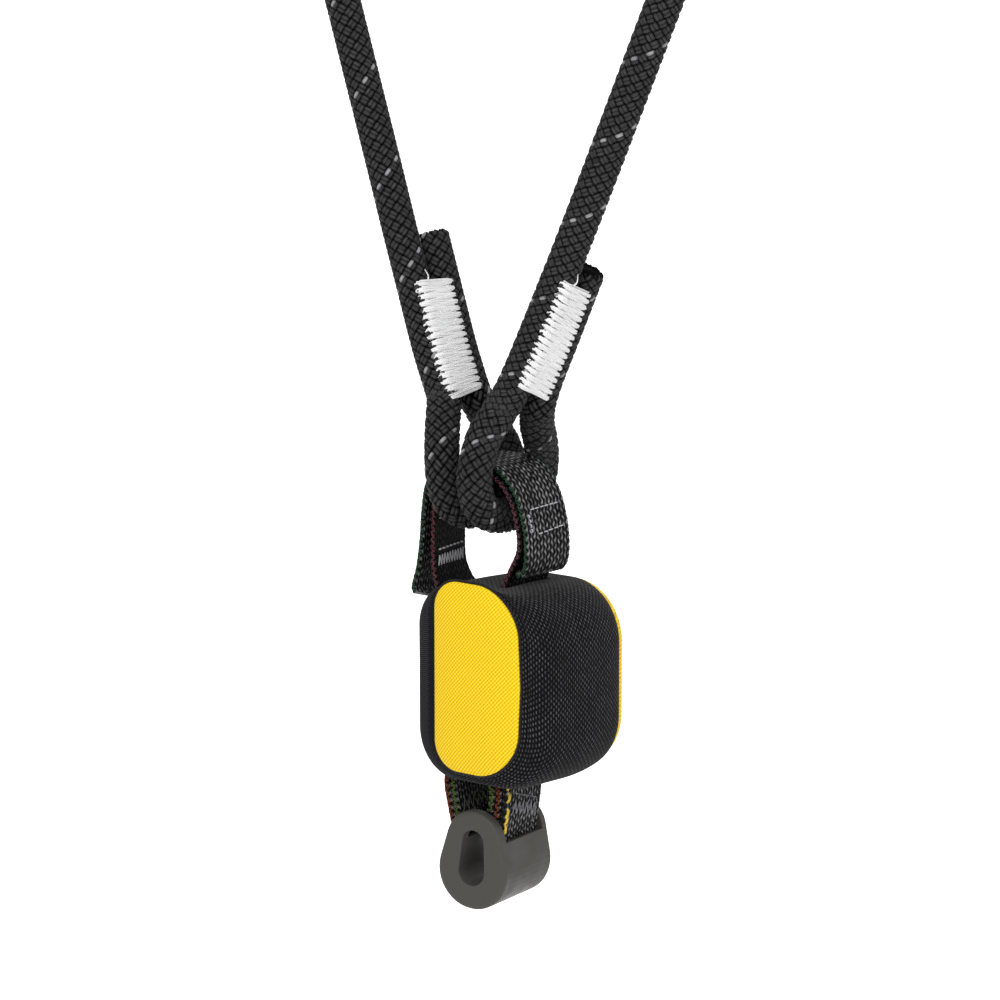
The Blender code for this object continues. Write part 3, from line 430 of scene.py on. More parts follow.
# ---------------------------------------------------------------- meshes
class Builder:
    """Collects the points, faces, UVs and material numbers of one mesh."""

    def __init__(self):
        self.points, self.faces, self.uvs, self.slots, self.shade_heights = [], [], [], [], []
        self.count = 0

    def grid(self, points, uvs, slot=0, ring=False, shade_height=None):
        """Quads between closed rings of points, and from the last ring to the first where ring is true. points is
        (rings, points, 3) and uvs (rings, points + 1, 2), to which a ring of rings can add a row."""
        n, m = points.shape[:2]
        a, b = np.arange(n if ring else n - 1)[:, None], np.arange(m)[None, :]
        a2, b2 = (a + 1) % n, (b + 1) % m
        corners = np.stack(np.broadcast_arrays(a * m + b, a * m + b2, a2 * m + b2, a2 * m + b), -1)
        au, bu = (a + 1) if uvs.shape[0] > n else a2, (b + 1) if uvs.shape[1] > m else b2
        parts = [uvs[i, j] for i, j in ((a, b), (a, bu), (au, bu), (au, b))]
        parts = [np.broadcast_to(p, (*corners.shape[:2], 2)) for p in parts]
        self.faces.append(corners.reshape(-1, 4) + self.count)
        self.uvs.append(np.stack(parts, 2).reshape(-1, 2))
        self.slots.append(np.full(len(self.faces[-1]), slot))
        self.points.append(points.reshape(-1, 3))
        self.shade_heights.append(np.repeat(np.ones(n) if shade_height is None else shade_height, m))
        first = self.count
        self.count += n * m
        return first

    def fan(self, rim, middle, uv, slot=0, turned=False, rim_uv=None):
        """A cap over a rim, given as point numbers, as triangles to one middle point."""
        self.points.append(np.array(middle, float).reshape(1, 3))
        self.shade_heights.append(np.ones(1))
        top = self.count
        self.count += 1
        after = np.roll(rim, -1)
        faces = np.stack([rim, after, np.full(len(rim), top)], -1)
        if turned:
            faces = faces[:, ::-1]
        self.faces.append(faces)
        uvs = np.broadcast_to(np.array(uv, float), (len(rim), 3, 2))
        if rim_uv is not None:
            uvs = np.stack([rim_uv, np.roll(rim_uv, -1, 0), uvs[:, 0]], 1)[:, ::-1 if turned else 1]
        self.uvs.append(uvs.reshape(-1, 2))
        self.slots.append(np.full(len(rim), slot))

    def tube(self, rings, uvs, ends, marks=((0, 0), (0, 0)), slot=0, shade_height=None):
        """Rings of points with a cap at each end, to a middle point whose UV is its mark."""
        first = self.grid(rings, uvs, slot, shade_height=shade_height)
        rim = np.arange(rings.shape[1])
        self.fan(first + rim, ends[0], marks[0], slot, turned=True)
        self.fan(first + (len(rings) - 1) * len(rim) + rim, ends[1], marks[1], slot)

    def finish(self, name, materials, replaced, slot_name, body="absorber"):
        mesh = bpy.data.meshes.new(name)
        faces = [f for block in self.faces for f in block.tolist()]
        mesh.from_pydata(np.concatenate(self.points).tolist(), [], faces)
        layer = mesh.uv_layers.new(name="UVMap")
        layer.data.foreach_set("uv", np.concatenate(self.uvs).astype(np.float32).ravel())
        mesh.polygons.foreach_set("material_index", np.concatenate(self.slots).astype(np.int32))
        # The yarns' heights over and under one another, from which the yarn material paints shade where a yarn dives
        # under.
        shade_heights = mesh.attributes.new("shade_height", "FLOAT", "POINT")
        shade_heights.data.foreach_set("value", np.concatenate(self.shade_heights).astype(np.float32))
        for item in materials:
            mesh.materials.append(item)
        mesh.shade_smooth()
        mesh.set_sharp_from_angle(angle=math.radians(50))
        obj = add_object(name, mesh)
        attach(obj, body)
        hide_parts(*replaced)
        return obj


def smooth(points, steps=24):
    """A Catmull-Rom curve through the points."""
    p = np.array(points, float)
    p = np.vstack([2 * p[0] - p[1], p, 2 * p[-1] - p[-2]])
    t = np.arange(steps)[:, None] / steps
    made = []
    for a, b, c, d in zip(p, p[1:], p[2:], p[3:]):
        made.append(0.5 * (2 * b + (c - a) * t + (2 * a - 5 * b + 4 * c - d) * t**2 + (3 * b - a - 3 * c + d) * t**3))
    return np.vstack([*made, p[-2]])


def lengths(points):
    return np.concatenate([[0.0], np.cumsum(np.linalg.norm(np.diff(points, axis=0), axis=1))])


def at(points, run, marks):
    """The points' values at distances along them."""
    return np.stack([np.interp(marks, run, points[:, k]) for k in range(points.shape[1])], -1)


def resample(points, step):
    run = lengths(points)
    return at(points, run, np.linspace(0, run[-1], max(2, round(run[-1] / step) + 1)))


def unit(v):
    return v / np.maximum(np.linalg.norm(v, axis=-1, keepdims=True), 1e-12)


def along_of(points, closed=False):
    if closed:
        return unit(np.roll(points, -1, 0) - np.roll(points, 1, 0))
    return unit(np.gradient(points, axis=0))


def carried(along, first):
    """Normals that turn with the path and don't twist."""
    made = [unit(first - along[0] * first.dot(along[0]))]
    for t in along[1:]:
        made.append(unit(made[-1] - t * made[-1].dot(t)))
    return np.array(made)


def sweep(build, points, normals, radius, sides=6, slot=0, flat=1.0, closed=False, start=0.0, shade_height=None):
    """A thread along the points. flat is its height along the normals against its width."""
    along = along_of(points, closed)
    normals = unit(normals - along * np.sum(normals * along, -1, keepdims=True))
    side = np.cross(along, normals)
    turn = np.arange(sides) * 2 * math.pi / sides
    ring = np.cos(turn)[None, :, None] * side[:, None] + flat * np.sin(turn)[None, :, None] * normals[:, None]
    rings = points[:, None] + ring * np.broadcast_to(np.asarray(radius, float), (len(points),))[:, None, None]
    run = lengths(points) + start
    if closed:
        run = np.append(run, run[-1] + np.linalg.norm(points[0] - points[-1]))
    uvs = np.stack(np.broadcast_arrays(run[:, None], np.arange(sides + 1)[None, :] / sides), -1)
    if closed:
        build.grid(rings, uvs, slot, ring=True)
    else:
        build.tube(rings, uvs, points[[0, -1]], uvs[[0, -1], 0], slot, shade_height)


# ---------------------------------------------------------------- ropes
BRAID_BANDS = 8  # bands each way round, of two yarns each
BRAID_STEP = 0.00050
PAIR_CLOSE = 0.86  # how close the two yarns of a band lie
YARN_MIDDLE = 0.00478
YARN_SWING = 0.00050
YARN_HALF_WIDTH = 0.00064
YARN_HALF_HEIGHT = 0.00046
CUT_DRAW = 0.0014  # the length over which a cut end draws in
CORE_RADIUS = 0.0045
TACK_PITCH = 0.00215
TACK_THREAD = 0.00021
TACK_LOWER_REACH = 0.0050  # how far the legs' middle line is drawn on past a lower stitching


def upper_frame(start, lean):
    lean = math.radians(lean)
    along = np.array((math.sin(lean), 0, math.cos(lean)))
    return np.array((start[0], PAIR_Y, start[1])), along, np.cross((0, 1, 0), along)


def upper_route(start, lean):
    origin, along, _ = upper_frame(start, lean)
    sewn, wide = LEG_PITCH / 2, EYE_HALF_WIDTH
    bend = UPPER_TACK_LENGTH + UPPER_EYE_LENGTH - wide
    opening = bend - UPPER_TACK_LENGTH
    up = [(UPPER_TACK_LENGTH * share, sewn) for share in (0.0, 0.5, 1.0)]
    up += [(UPPER_TACK_LENGTH + s * opening, sewn + t * (wide - sewn)) for s, t in ((0.3, 0.28), (0.7, 0.82))]
    turn = [(bend + wide * math.sin(a), wide * math.cos(a)) for a in (math.radians(15 + 25 * k) for k in range(3))]
    legs = [(s, -t) for s, t in [*up, *turn]] + [(bend + wide, 0.0), *turn[::-1], *up[::-1], (-UPPER_TAIL, sewn)]
    return [tuple(origin + along * s + np.array((0, t, 0))) for s, t in legs]


def braided_rope(side):
    route, start, lean, _, _, _, (lead, turn), _ = ARMS[side]
    centre = resample(smooth([*route, *upper_route(start, lean)]), BRAID_STEP)
    along = along_of(centre)
    normal = carried(along, np.array((0.0, 1.0, 0.0)))
    other = np.cross(along, normal)
    run = lengths(centre)
    build = Builder()
    n = BRAID_BANDS
    drawn = 1 - 0.20 * (1 - np.clip(np.minimum(run, run[-1] - run) / CUT_DRAW, 0, 1)) ** 2
    half = math.pi / (2 * n)
    for way in (1, -1):
        for band in range(n):
            for shift in (-PAIR_CLOSE * half, PAIR_CLOSE * half):
                angle = way * 2 * math.pi * run / lead + 2 * math.pi * band / n + shift + turn
                crossing = 2 * n * run / lead + way * n * shift / PAIR_CLOSE / (2 * math.pi)
                wave = np.cos(math.pi * (2 * band + way * crossing)) * way
                wave = np.sign(wave) * np.abs(wave) ** 0.7
                out = np.cos(angle)[:, None] * normal + np.sin(angle)[:, None] * other
                points = centre + out * ((YARN_MIDDLE + YARN_SWING * wave) * drawn)[:, None]
                tracer = way == 1 and band == 0 and shift < 0
                # The yarn's height goes with it, for the painted shade where it dives under a crossing yarn.
                sweep(
                    build, points, out, YARN_HALF_WIDTH, 6, 1 if tracer else 0,
                    YARN_HALF_HEIGHT / YARN_HALF_WIDTH, start=float(draw.uniform(0, 1)), shade_height=wave,
                )
    # The near-black core paints the shade seen between the yarns.
    sweep(build, centre, normal, CORE_RADIUS * drawn, 20, 2)
    materials = [ROPE_YARN, ROPE_TRACER, ROPE_CORE_SHADE]
    rope = build.finish(side + "_braided_rope", materials, [side + "_arm_rope"], "rope", side + "_arm")
    return rope, centre, float(run[-1])


def tack_threads(build, middle, across, out, run, first, last, loose=None, place=(0.0, 0.0, 0.0)):
    """Zigzags of thread on both faces of the sewn legs: five on top that make the teeth, over four shorter ones.
    place moves them across the legs and along them, and leans them."""
    crest = LEG_PITCH / 2
    steps = np.linspace(-1, 1, 11)
    layers = [(0.20 + 0.25 * k, (6.95, 7.15, 7.10, 6.90, 6.70)[k], 0.09 * k) for k in range(5)]
    layers += [(0.05 + 0.54 * k, 6.20, -0.30) for k in range(4)]
    for face in (1, -1):
        for begin, half, above in layers:
            count = int((last - first - 1.0 * MM) / (TACK_PITCH / 2))
            path, normals = [], []
            for k in range(count):
                way = 1 if k % 2 == 0 else -1
                wide = (half + float(draw.uniform(-0.22, 0.25))) * MM
                a = steps * wide * way + place[0] * MM
                s = first + begin * MM + (k + (steps + 1) / 2) * TACK_PITCH / 2
                s = s + float(draw.uniform(-0.12, 0.12)) * MM + place[1] * MM + place[2] * a
                lift = (5.85 + above + float(draw.uniform(-0.08, 0.14))) * MM
                past = np.maximum(np.abs(a) - crest, 0)
                h = lift - 0.24 * MM * (1 - np.minimum(np.abs(a) / crest, 1) ** 2) - past**2 / (2 * lift) - past * 0.2
                h = np.where(np.abs(steps) > 0.99, h - 0.75 * MM, h)
                m, w, o = at(middle, run, s), at(across, run, s), at(out, run, s)
                path.append(m + w * a[:, None] + o * (face * h)[:, None])
                normals.append(o * face)
            sweep(build, np.vstack(path), np.vstack(normals), TACK_THREAD)
    if loose is not None:
        steps = np.linspace(0, 1, 12)
        s = last - 0.8 * MM + steps * 3.8 * MM + place[1] * MM + place[2] * loose * MM
        a = (loose + 0.5 * np.sin(steps * 2.6)) * MM
        h = (5.9 + 0.35 * np.sin(steps * 5.0)) * MM
        s0 = np.minimum(s, run[-1])
        m, w, o = at(middle, run, s0), at(across, run, s0), at(out, run, s0)
        m = m + unit(middle[-1] - middle[-2]) * (s - s0)[:, None]
        sweep(build, m + w * a[:, None] + o * h[:, None], o, 0.26 * MM * (1 - 0.55 * steps))


def finish_tack(build, side, level):
    name, replaced = f"{side}_{level}_stitches", [f"{side}_arm_{level}_bar_tack"]
    return build.finish(name, [WHITE_THREAD], replaced, "white_thread", side + "_arm")


def lower_tack(side):
    route, _, _, heights, tail_end, standing_start, _, place = ARMS[side]
    tail, standing = smooth(route[:tail_end]), smooth(route[standing_start:])
    levels = np.linspace(*heights, 40)
    a, b = at(standing, standing[:, 2], levels), at(tail[::-1], tail[::-1, 2], levels)
    middle = (a + b) / 2
    reach = TACK_LOWER_REACH
    ends = unit(middle[[0, -1]] - middle[[1, -2]]) * reach
    middle = np.vstack([middle[0] + ends[0], middle, middle[-1] + ends[1]])
    along = along_of(middle)
    across = (b - a)[[0, *range(len(a)), -1]]
    across = unit(across - along * np.sum(across * along, -1, keepdims=True))
    run = lengths(middle)
    build = Builder()
    loose = -4.4 if side == "left" else -4.8
    tack_threads(build, middle, across, np.cross(across, along), run, reach, run[-1] - reach, loose, place)
    return finish_tack(build, side, "lower")


def upper_tack(side):
    _, start, lean, *_ = ARMS[side]
    origin, along, out = upper_frame(start, lean)
    run = np.array((0.0, UPPER_TACK_LENGTH))
    middle = origin + along * run[:, None]
    across = np.array([(0.0, 1.0, 0.0)] * 2)
    build = Builder()
    tack_threads(build, middle, across, np.array([out] * 2), run, 0.0, UPPER_TACK_LENGTH)
    return finish_tack(build, side, "upper")


# ---------------------------------------------------------------- webbing
RIB = 0.00164
RIB_DEPTH = 0.00026
RIB_SWING = 0.00006
SELVEDGE = 0.0007  # the width of a webbing's soft edge
WEB_STEP = 0.0006
SLANT_LENGTH = 0.010  # the length over which a slanted cut draws the ribs with it
CHAIN_PITCH = 0.00075
CHAIN_REACH = 0.00050
CHAIN_SEAT = 0.00046  # how far inside the edge the chains' middles lie
CHAIN_THREAD = 0.00016


class Strip:
    """A webbing's middle line in X and Z, with its outward normals, and y across. The line can be turned about the
    vertical, and twisted by angles of its own about the edge at low y."""

    def __init__(self, path, curve=True, yaw=0.0, twist=None):
        line = np.array([(x, 0, z) for x, z in path], float)
        line = smooth(line, 12) if curve else line
        self.points = resample(line, WEB_STEP)
        angle = np.full(len(self.points), yaw) if twist is None else twist(self.points)
        if twist is None:
            x, z = self.points[:, 0], self.points[:, 2]
            self.points = np.stack([x * math.cos(yaw), x * math.sin(yaw), z], -1)
        self.along = along_of(self.points)
        side = np.stack([-np.sin(angle), np.cos(angle), 0 * angle], -1)
        if twist is not None:
            self.points = self.points + side * (WEBBING_WIDTH / 2) - np.array((0, WEBBING_WIDTH / 2, 0))
        self.side = unit(side - self.along * np.sum(side * self.along, -1, keepdims=True))
        self.out = np.cross(self.along, self.side)
        self.run = lengths(self.points)
        self.length = self.run[-1]

    def at(self, share, y, height):
        """Points at shares of the length, values of y and heights over the middle."""
        marks = np.atleast_1d(np.asarray(share, float)) * self.length
        across = at(self.side, self.run, marks) * np.reshape(y, (-1, 1))
        return at(self.points, self.run, marks) + at(self.out, self.run, marks) * np.reshape(height, (-1, 1)) + across

    def normals(self, share):
        return self.lead(self.out, share)

    def lead(self, directions, share):
        return unit(at(directions, self.run, np.atleast_1d(np.asarray(share, float)) * self.length))

    def cut(self, high, low):
        """Keeps what lies between two heights."""
        kept = (self.points[:, 2] < high) & (self.points[:, 2] > low)
        self.points, self.along, self.side, self.out = (v[kept] for v in (self.points, self.along, self.side, self.out))
        self.run = lengths(self.points)
        self.length = self.run[-1]
        return self

    def share_at(self, z, first):
        """Where the line passes a height, on its first or its last leg."""
        half = len(self.points) // 2
        legs = slice(0, half) if first else slice(half, None)
        near = np.argmin(np.abs(self.points[legs, 2] - z)) + (0 if first else half)
        return self.run[near] / self.length


def weave(build, strip, width, thickness, offset=0.0, middle=0.0, rib_depth=RIB_DEPTH, slant=0.0):
    """Lays a ribbed webbing along the strip, with thin soft edges. Its first end can be cut at a slant."""
    flat_half = width / 2 - SELVEDGE
    ribs = round(2 * flat_half / RIB)
    flat = np.linspace(-1, 1, ribs * 4 + 1) * flat_half
    half = thickness / 2
    valley = rib_depth * (0.5 - 0.5 * np.cos(2 * math.pi * np.arange(len(flat)) / 4))
    top = half - valley
    edge = np.linspace(0, math.pi, 7)[1:-1]
    swell = SELVEDGE * np.sin(edge)
    y = np.concatenate([flat, flat_half + swell, flat[::-1], -flat_half - swell])
    h = np.concatenate([top, half * np.cos(edge), -top[::-1], -half * np.cos(edge)])
    lean = RIB_SWING * np.sin(2 * math.pi * strip.run / WAVE_PITCH)[:, None] * (np.abs(y) < width / 2 - 0.001)
    points = strip.points[:, None] + strip.out[:, None] * (h + offset)[None, :, None]
    points = points + strip.side[:, None] * (y + middle + lean)[:, :, None]
    cut = slant * (y + width / 2) * np.clip(1 - strip.run / SLANT_LENGTH, 0, 1)[:, None]
    points = points - strip.along[:, None] * cut[:, :, None]
    v = np.append(y, y[0])
    uvs = np.stack(np.broadcast_arrays(strip.run[:, None], v[None, :]), -1)
    centres = strip.points + strip.out * offset + strip.side * middle - strip.along * cut.mean(1, keepdims=True)
    build.tube(points, uvs, centres[[0, -1]])


def edge_chain(build, strip, width, thickness, side, slot, offset=0.0, first=0.0, last=1.0):
    """The short slanted edge stitches that lie round a webbing's selvedge."""
    rise = thickness / 2 + 0.00002
    for k in range(int(strip.length * (last - first) / CHAIN_PITCH)):
        wild = float(draw.uniform(-9, 9))
        phase = np.radians(np.linspace(45 + wild, 135 + wild, 6))
        drift = (phase / math.pi - 0.5) * (3.2 if k % 3 else -2.2) + float(draw.uniform(-0.25, 0.25))
        share = np.clip(first + (k + 0.5 + side * drift) * CHAIN_PITCH / strip.length, first, last)
        base = strip.at(share, 0.0, np.full_like(share, offset))
        out, across = strip.normals(share), strip.lead(strip.side, share) * side
        cos, sin = np.cos(phase)[:, None], np.sin(phase)[:, None]
        points = base + out * (rise * cos) + across * (width / 2 - CHAIN_SEAT + CHAIN_REACH * sin)
        sweep(build, points, out * cos + across * sin, CHAIN_THREAD, 5, slot, 0.8)


def stitch_row(build, strip, start, end, count, height, fill=0.62, radius=0.00026, slot=0):
    """Short stitches between two marks (share, y) on a strip, at a height over its middle."""
    start, end = np.array(start, float), np.array(end, float)
    for k in range(count):
        t = (k + 0.5 + fill / 2 * np.linspace(-1, 1, 7)) / count
        marks = start + (end - start) * t[:, None]
        lift = np.array((-0.55, -0.1, 0.12, 0.16, 0.12, -0.1, -0.55)) * MM
        points = strip.at(marks[:, 0], marks[:, 1], height + np.sign(height) * lift)
        sweep(build, points, strip.normals(marks[:, 0]) * np.sign(height), radius, slot=slot)


def zigzag(build, strip, low, high, ends, count, height, radius, slant=0.0):
    """A thread to and fro between two shares of a strip, across it from one y to another."""
    t = np.linspace(0, 1, count)
    share = np.where(np.arange(count) % 2 == 0, low, high) + slant * t
    y = ends[0] + (ends[1] - ends[0]) * t
    points = resample(strip.at(share, y, np.full(count, height)), 0.0004)
    normals = np.tile(np.sign(height) * strip.normals((low + high) / 2), (len(points), 1))
    sweep(build, points, normals, radius)


def left_twist(points):
    """How the left strand of the attachment loop turns its rear edge away from the camera's side."""
    x, z = points[:, 0], points[:, 2]
    share = np.interp(z, (-0.030, -0.024, -0.0185, -0.0130, -0.0040, 0.0060), (0.0, 0.6, 0.9, 1.0, 1.0, 0.0))
    share = share * share * (3 - 2 * share)
    return np.radians(13.0) * np.where(x < -0.004, share, 0.0)


def attachment_loop():
    inner, outer = Strip(INNER_LOOP_PATH, twist=left_twist), Strip(OUTER_LOOP_PATH, twist=left_twist)
    width, thick = WEBBING_WIDTH - DRAWN_SIDE, WEBBING_THICKNESS - DRAWN_FACE
    for strip, label, web, edge in ((inner, "inner", FAINT_SHEEN_WEBBING, RED_EDGE), (outer, "outer", WEBBING, GREEN_EDGE)):
        build = Builder()
        weave(build, strip, width, thick, slant=0.30 if label == "outer" else 0.0)
        for side in (-1, 1):
            edge_chain(build, strip, width, thick, side, 1)
        build.finish(f"attachment_{label}_web", [web, edge], [f"attachment_loop_{label}_webbing"], "webbing")
    over = WEBBING_THICKNESS / 2 + THREAD_SEAT
    build = Builder()
    for z, ends, count, radius in ((-0.0026, (-0.0085, 0.0080), 8, 0.00022), (-0.0126, (-0.0085, 0.0085), 7, 0.00032)):
        share = inner.share_at(z, True)
        stitch_row(build, inner, (share, ends[0]), (share, ends[1]), count, -over, 0.34, radius)
    zigzag(
        build, inner, inner.share_at(-0.0178, True), inner.share_at(-0.0148, True), (-0.0088, 0.0080), 20,
        -over - 0.0001, 0.00019,
    )
    build.finish("attachment_left_stitches", [GREY_THREAD], ["attachment_loop_left_stitching"], "grey_thread")
    build = Builder()
    rows = (
        ((0.0038, -0.0066), (0.0045, 0.0074), 6), ((-0.0038, -0.0048), (-0.0027, 0.0078), 5),
        ((0.0024, -0.0080), (-0.0032, -0.0076), 4),
    )
    for start, end, count in rows:
        marks = [(outer.share_at(z, False), y) for z, y in (start, end)]
        stitch_row(build, outer, *marks, count, over, 0.72, 0.00022)
    build.finish("attachment_right_stitches", [GREY_THREAD], ["attachment_loop_right_stitching"], "grey_thread")


def arc(centre, radius, start, end, steps):
    turn = np.radians(np.linspace(start, end, steps + 1))
    return [(centre[0] + radius * math.cos(a), centre[1] + radius * math.sin(a)) for a in turn]


def connector_loop():
    top = PIVOT_Z + 0.0035
    left = [(-NECK_HALF_WIDTH, top), (-NECK_HALF_WIDTH, PIVOT_Z), (-NECK_HALF_WIDTH, PIVOT_Z - 0.003)]
    right = [(-x, z) for x, z in left[::-1]]
    bottom = arc(LOOP_CENTRE, LOOP_R, 195, 345, 5)
    strip = Strip([*left, *CONNECTOR_WAIST, *bottom, *CONNECTOR_RISE, *right][::-1], yaw=CONNECTOR_YAW)
    width, thick = WEBBING_WIDTH - DRAWN_SIDE, CONNECTOR_THICKNESS - DRAWN_FACE
    shift = (CONNECTOR_THICKNESS + GAP) / 2
    lap = Strip([*right[::-1], *CONNECTOR_RISE[:1:-1]], yaw=CONNECTOR_YAW).cut(LAP_TOP, LAP_BOTTOM)
    for label, way, edges in (("inner", -1, (ORANGE_EDGE, LIME_EDGE)), ("outer", 1, (SEAM_THREAD, ORANGE_EDGE))):
        build = Builder()
        weave(build, strip, width, thick, way * shift)
        for side in (-1, 1):
            edge_chain(build, strip, width, thick, side, 1, way * shift, last=0.5)
            edge_chain(build, strip, width, thick, side, 2, way * shift, first=0.5)
            if label == "inner":
                edge_chain(build, lap, width, thick, side, 2, -3 * shift)
        if label == "inner":
            weave(build, lap, width, thick, -3 * shift)
        replaced = [f"connector_loop_{label}_webbing"]
        build.finish(f"connector_{label}_web", [WEBBING, *edges], replaced, "webbing", "connector_loop")
    over = CONNECTOR_THICKNESS + GAP / 2 + 0.00008
    marks = (
        ("left", False, -1, (-0.0960, -0.0925), (-0.0900, -0.0895), 0.0082, DARK_THREAD),
        ("right", True, 1, (-0.0945, -0.0905), (-0.0880, -0.0922), 0.0078, DIM_THREAD),
    )
    for label, first, way, (low, high), line, wide, thread in marks:
        build = Builder()
        low, high, start, end = (strip.share_at(z, first) for z in (low, high, *line))
        near = -wide + 0.0010 * (way > 0)
        zigzag(build, strip, low, high, (near, wide), 13, way * over, 0.00020, slant=(end - start) * 0.8)
        stitch_row(build, strip, (start, near), (end, wide), 6, way * over, 0.7, 0.00020)
        if way > 0:
            ends = [(strip.share_at(z, True), wide - y) for z, y in ((-0.0925, 0.0), (-0.1020, 0.0014))]
            stitch_row(build, strip, *ends, 5, way * over, 0.72, 0.00018)
        replaced = [f"connector_loop_{label}_stitching"]
        build.finish(f"connector_{label}_stitches", [thread], replaced, "grey_thread", "connector_loop")
    build = Builder()
    side = -WEBBING_WIDTH / 2 + 0.0009
    for high, low in (
        (-0.0842, -0.0870), (-0.0876, -0.0902), (-0.0920, -0.0950), (-0.0945, -0.0978), (-0.0973, -0.1008),
    ):
        ends = [(strip.share_at(z, True), side + y) for z, y in ((high, 0.0002), (low, -0.0002))]
        stitch_row(build, strip, *ends, 1, over, 0.96, 0.00042)
    replaced = ["yellow_indicator_stitching"]
    build.finish("indicator_stitches", [YELLOW_THREAD], replaced, "yellow_thread", "connector_loop")


# ---------------------------------------------------------------- pouch
def rounded_rectangle(centre, half, radii, inset=0.0, count=192, bulge=0.0):
    """Evenly spaced points on an outline, from the middle of its right side, anticlockwise, and its length."""
    x, z = half[0] - inset, half[1] - inset
    left, right = (min(max(r - inset, 0.0030), 0.96 * x, 0.96 * z) for r in radii)
    outline = [(x, 0.0)]
    for cx, cz, r, a in (
        (x - right, z - right, right, 0), (left - x, z - left, left, 90), (left - x, left - z, left, 180),
        (x - right, right - z, right, 270),
    ):
        outline += arc((cx, cz), r, a, a + 90, 24)
    outline.append((x, 0.0))
    outline = np.array(outline)
    outline[:, 0] += bulge * (1 - (outline[:, 1] / z) ** 2) * np.clip(outline[:, 0] / x, 0, 1)
    outline += np.array(centre)
    run = lengths(outline)
    return at(outline, run, np.linspace(0, run[-1], count + 1)[:-1]), run[-1]


def pouch_surface(s, share, inset):
    """The wrap's outline at a share s of its half depth, swollen by a share of what it swells in its middle."""
    end = FRONT_END if s < 0 else REAR_END
    blend = [[a + (b - a) * share for a, b in zip(first, second)] for first, second in zip(end, MIDDLE)]
    bulge = FRONT_BULGE * (1 - share) if s < 0 else 0.0
    outline, around = rounded_rectangle(*blend, inset, bulge=bulge)
    depth = POUCH_HALF_DEPTH * s if inset < POUCH_WALL / 2 else (POUCH_HALF_DEPTH - POUCH_WALL) * s
    return np.stack([outline[:, 0], np.full(len(outline), depth), outline[:, 1]], -1), around


def pouch_stations():
    """Shares of the depth and of the swelling, evenly spaced along the wrap's profile."""
    made = []
    turn = np.linspace(0, math.pi / 2, 2000) ** 2 / (math.pi / 2)
    for way, fullness, end in ((-1, FRONT_FULLNESS, FRONT_END), (1, REAR_FULLNESS, REAR_END)):
        s = way * np.cos(turn) ** (2 / fullness)
        share = np.sin(turn) ** (2 / fullness)
        grown = share * (MIDDLE[1][0] - end[1][0])
        run = lengths(np.stack([s * POUCH_HALF_DEPTH, grown], -1))
        marks = np.linspace(0, run[-1], 38)
        half = [(np.interp(m, run, s), np.interp(m, run, share)) for m in marks]
        made += half[:-1] if way < 0 else half[::-1]
    return made


def box_cutter(low, high):
    x0, y0, z0 = low
    x1, y1, z1 = high
    points = [(x, y, z) for x in (x0, x1) for y in (y0, y1) for z in (z0, z1)]
    faces = [(0, 1, 3, 2), (4, 6, 7, 5), (0, 4, 5, 1), (2, 3, 7, 6), (0, 2, 6, 4), (1, 5, 7, 3)]
    mesh = bpy.data.meshes.new("cutter")
    mesh.from_pydata(points, [], faces)
    return add_object("cutter", mesh)


def carve(obj, tools):
    """Cuts the tools from the object's mesh for good, and removes them."""
    for tool in tools:
        modifier = obj.modifiers.new("Cut", "BOOLEAN")
        modifier.operation = "DIFFERENCE"
        modifier.solver = "EXACT"
        modifier.object = tool
    bpy.context.view_layer.update()
    made = bpy.data.meshes.new_from_object(obj.evaluated_get(bpy.context.evaluated_depsgraph_get()))
    obj.modifiers.clear()
    obj.data = made
    for tool in tools:
        bpy.data.objects.remove(tool)


def pouch_wrap():
    stations = pouch_stations()
    outer, inner, around = [], [], []
    for s, share in stations:
        ring, length = pouch_surface(s, share, 0.00005)
        outer.append(ring)
        around.append(length)
        inner.append(pouch_surface(s, share, POUCH_WALL)[0])
    outer, inner = np.array(outer), np.array(inner)
    angle = np.arange(outer.shape[1]) / outer.shape[1] * 2 * math.pi
    middle = np.array((MIDDLE[0][0], 0, MIDDLE[0][1]))
    depths = np.array([s for s, _ in stations])
    ease = (1 - np.abs(depths) ** 6)[:, None]
    y = depths[:, None] * POUCH_HALF_DEPTH
    crease = 0.5 * np.sin(3 * angle + 120 * y) + 0.35 * np.sin(7 * angle - 260 * y + 1.3)
    crease = crease + 0.3 * np.sin(150 * y + angle)
    radial = unit((outer - middle) * np.array((1, 0, 1)))
    outer = outer - radial * (CREASE_DEPTH * ease * (1 + crease))[:, :, None]
    profile = lengths(outer[:, 0])
    # A binding stands up along the front rim, with a sewn groove beside it
    run = profile[:, None]
    band = np.clip((BINDING - run) / BINDING_EDGE, 0, 1) * BINDING_RISE
    band = band - np.exp(-((run - BINDING) / GROOVE_HALF) ** 2) * GROOVE_DEPTH
    outer[:, :, 1] -= np.where(y < 0, band, 0)
    share = np.arange(outer.shape[1] + 1) / outer.shape[1]
    circle = np.array([share * around[len(around) // 2]] * len(stations))
    height = np.broadcast_to(profile[:, None], circle.shape)
    uvs = np.stack([height, circle], -1)
    build = Builder()
    rings = np.concatenate([outer, inner[::-1]])
    build.grid(rings, np.concatenate([uvs, uvs[::-1]]), ring=True)
    cover = build.finish("pouch_cover", [COVER], ["pouch_wrap"], "black_cover")
    slot_y = WEBBING_WIDTH / 2 + 0.0006
    x, deep = CONNECTOR_MOUTH
    mouth = box_cutter((-x, -deep, PIVOT_Z - 0.012), (x, deep, PIVOT_Z + 0.005))
    mouth.rotation_euler.z = CONNECTOR_YAW
    slots = [box_cutter((x0, -slot_y, z0), (x1, slot_y, z1)) for (x0, x1), (z0, z1) in LOOP_SLOTS]
    carve(cover, [*slots, mouth])


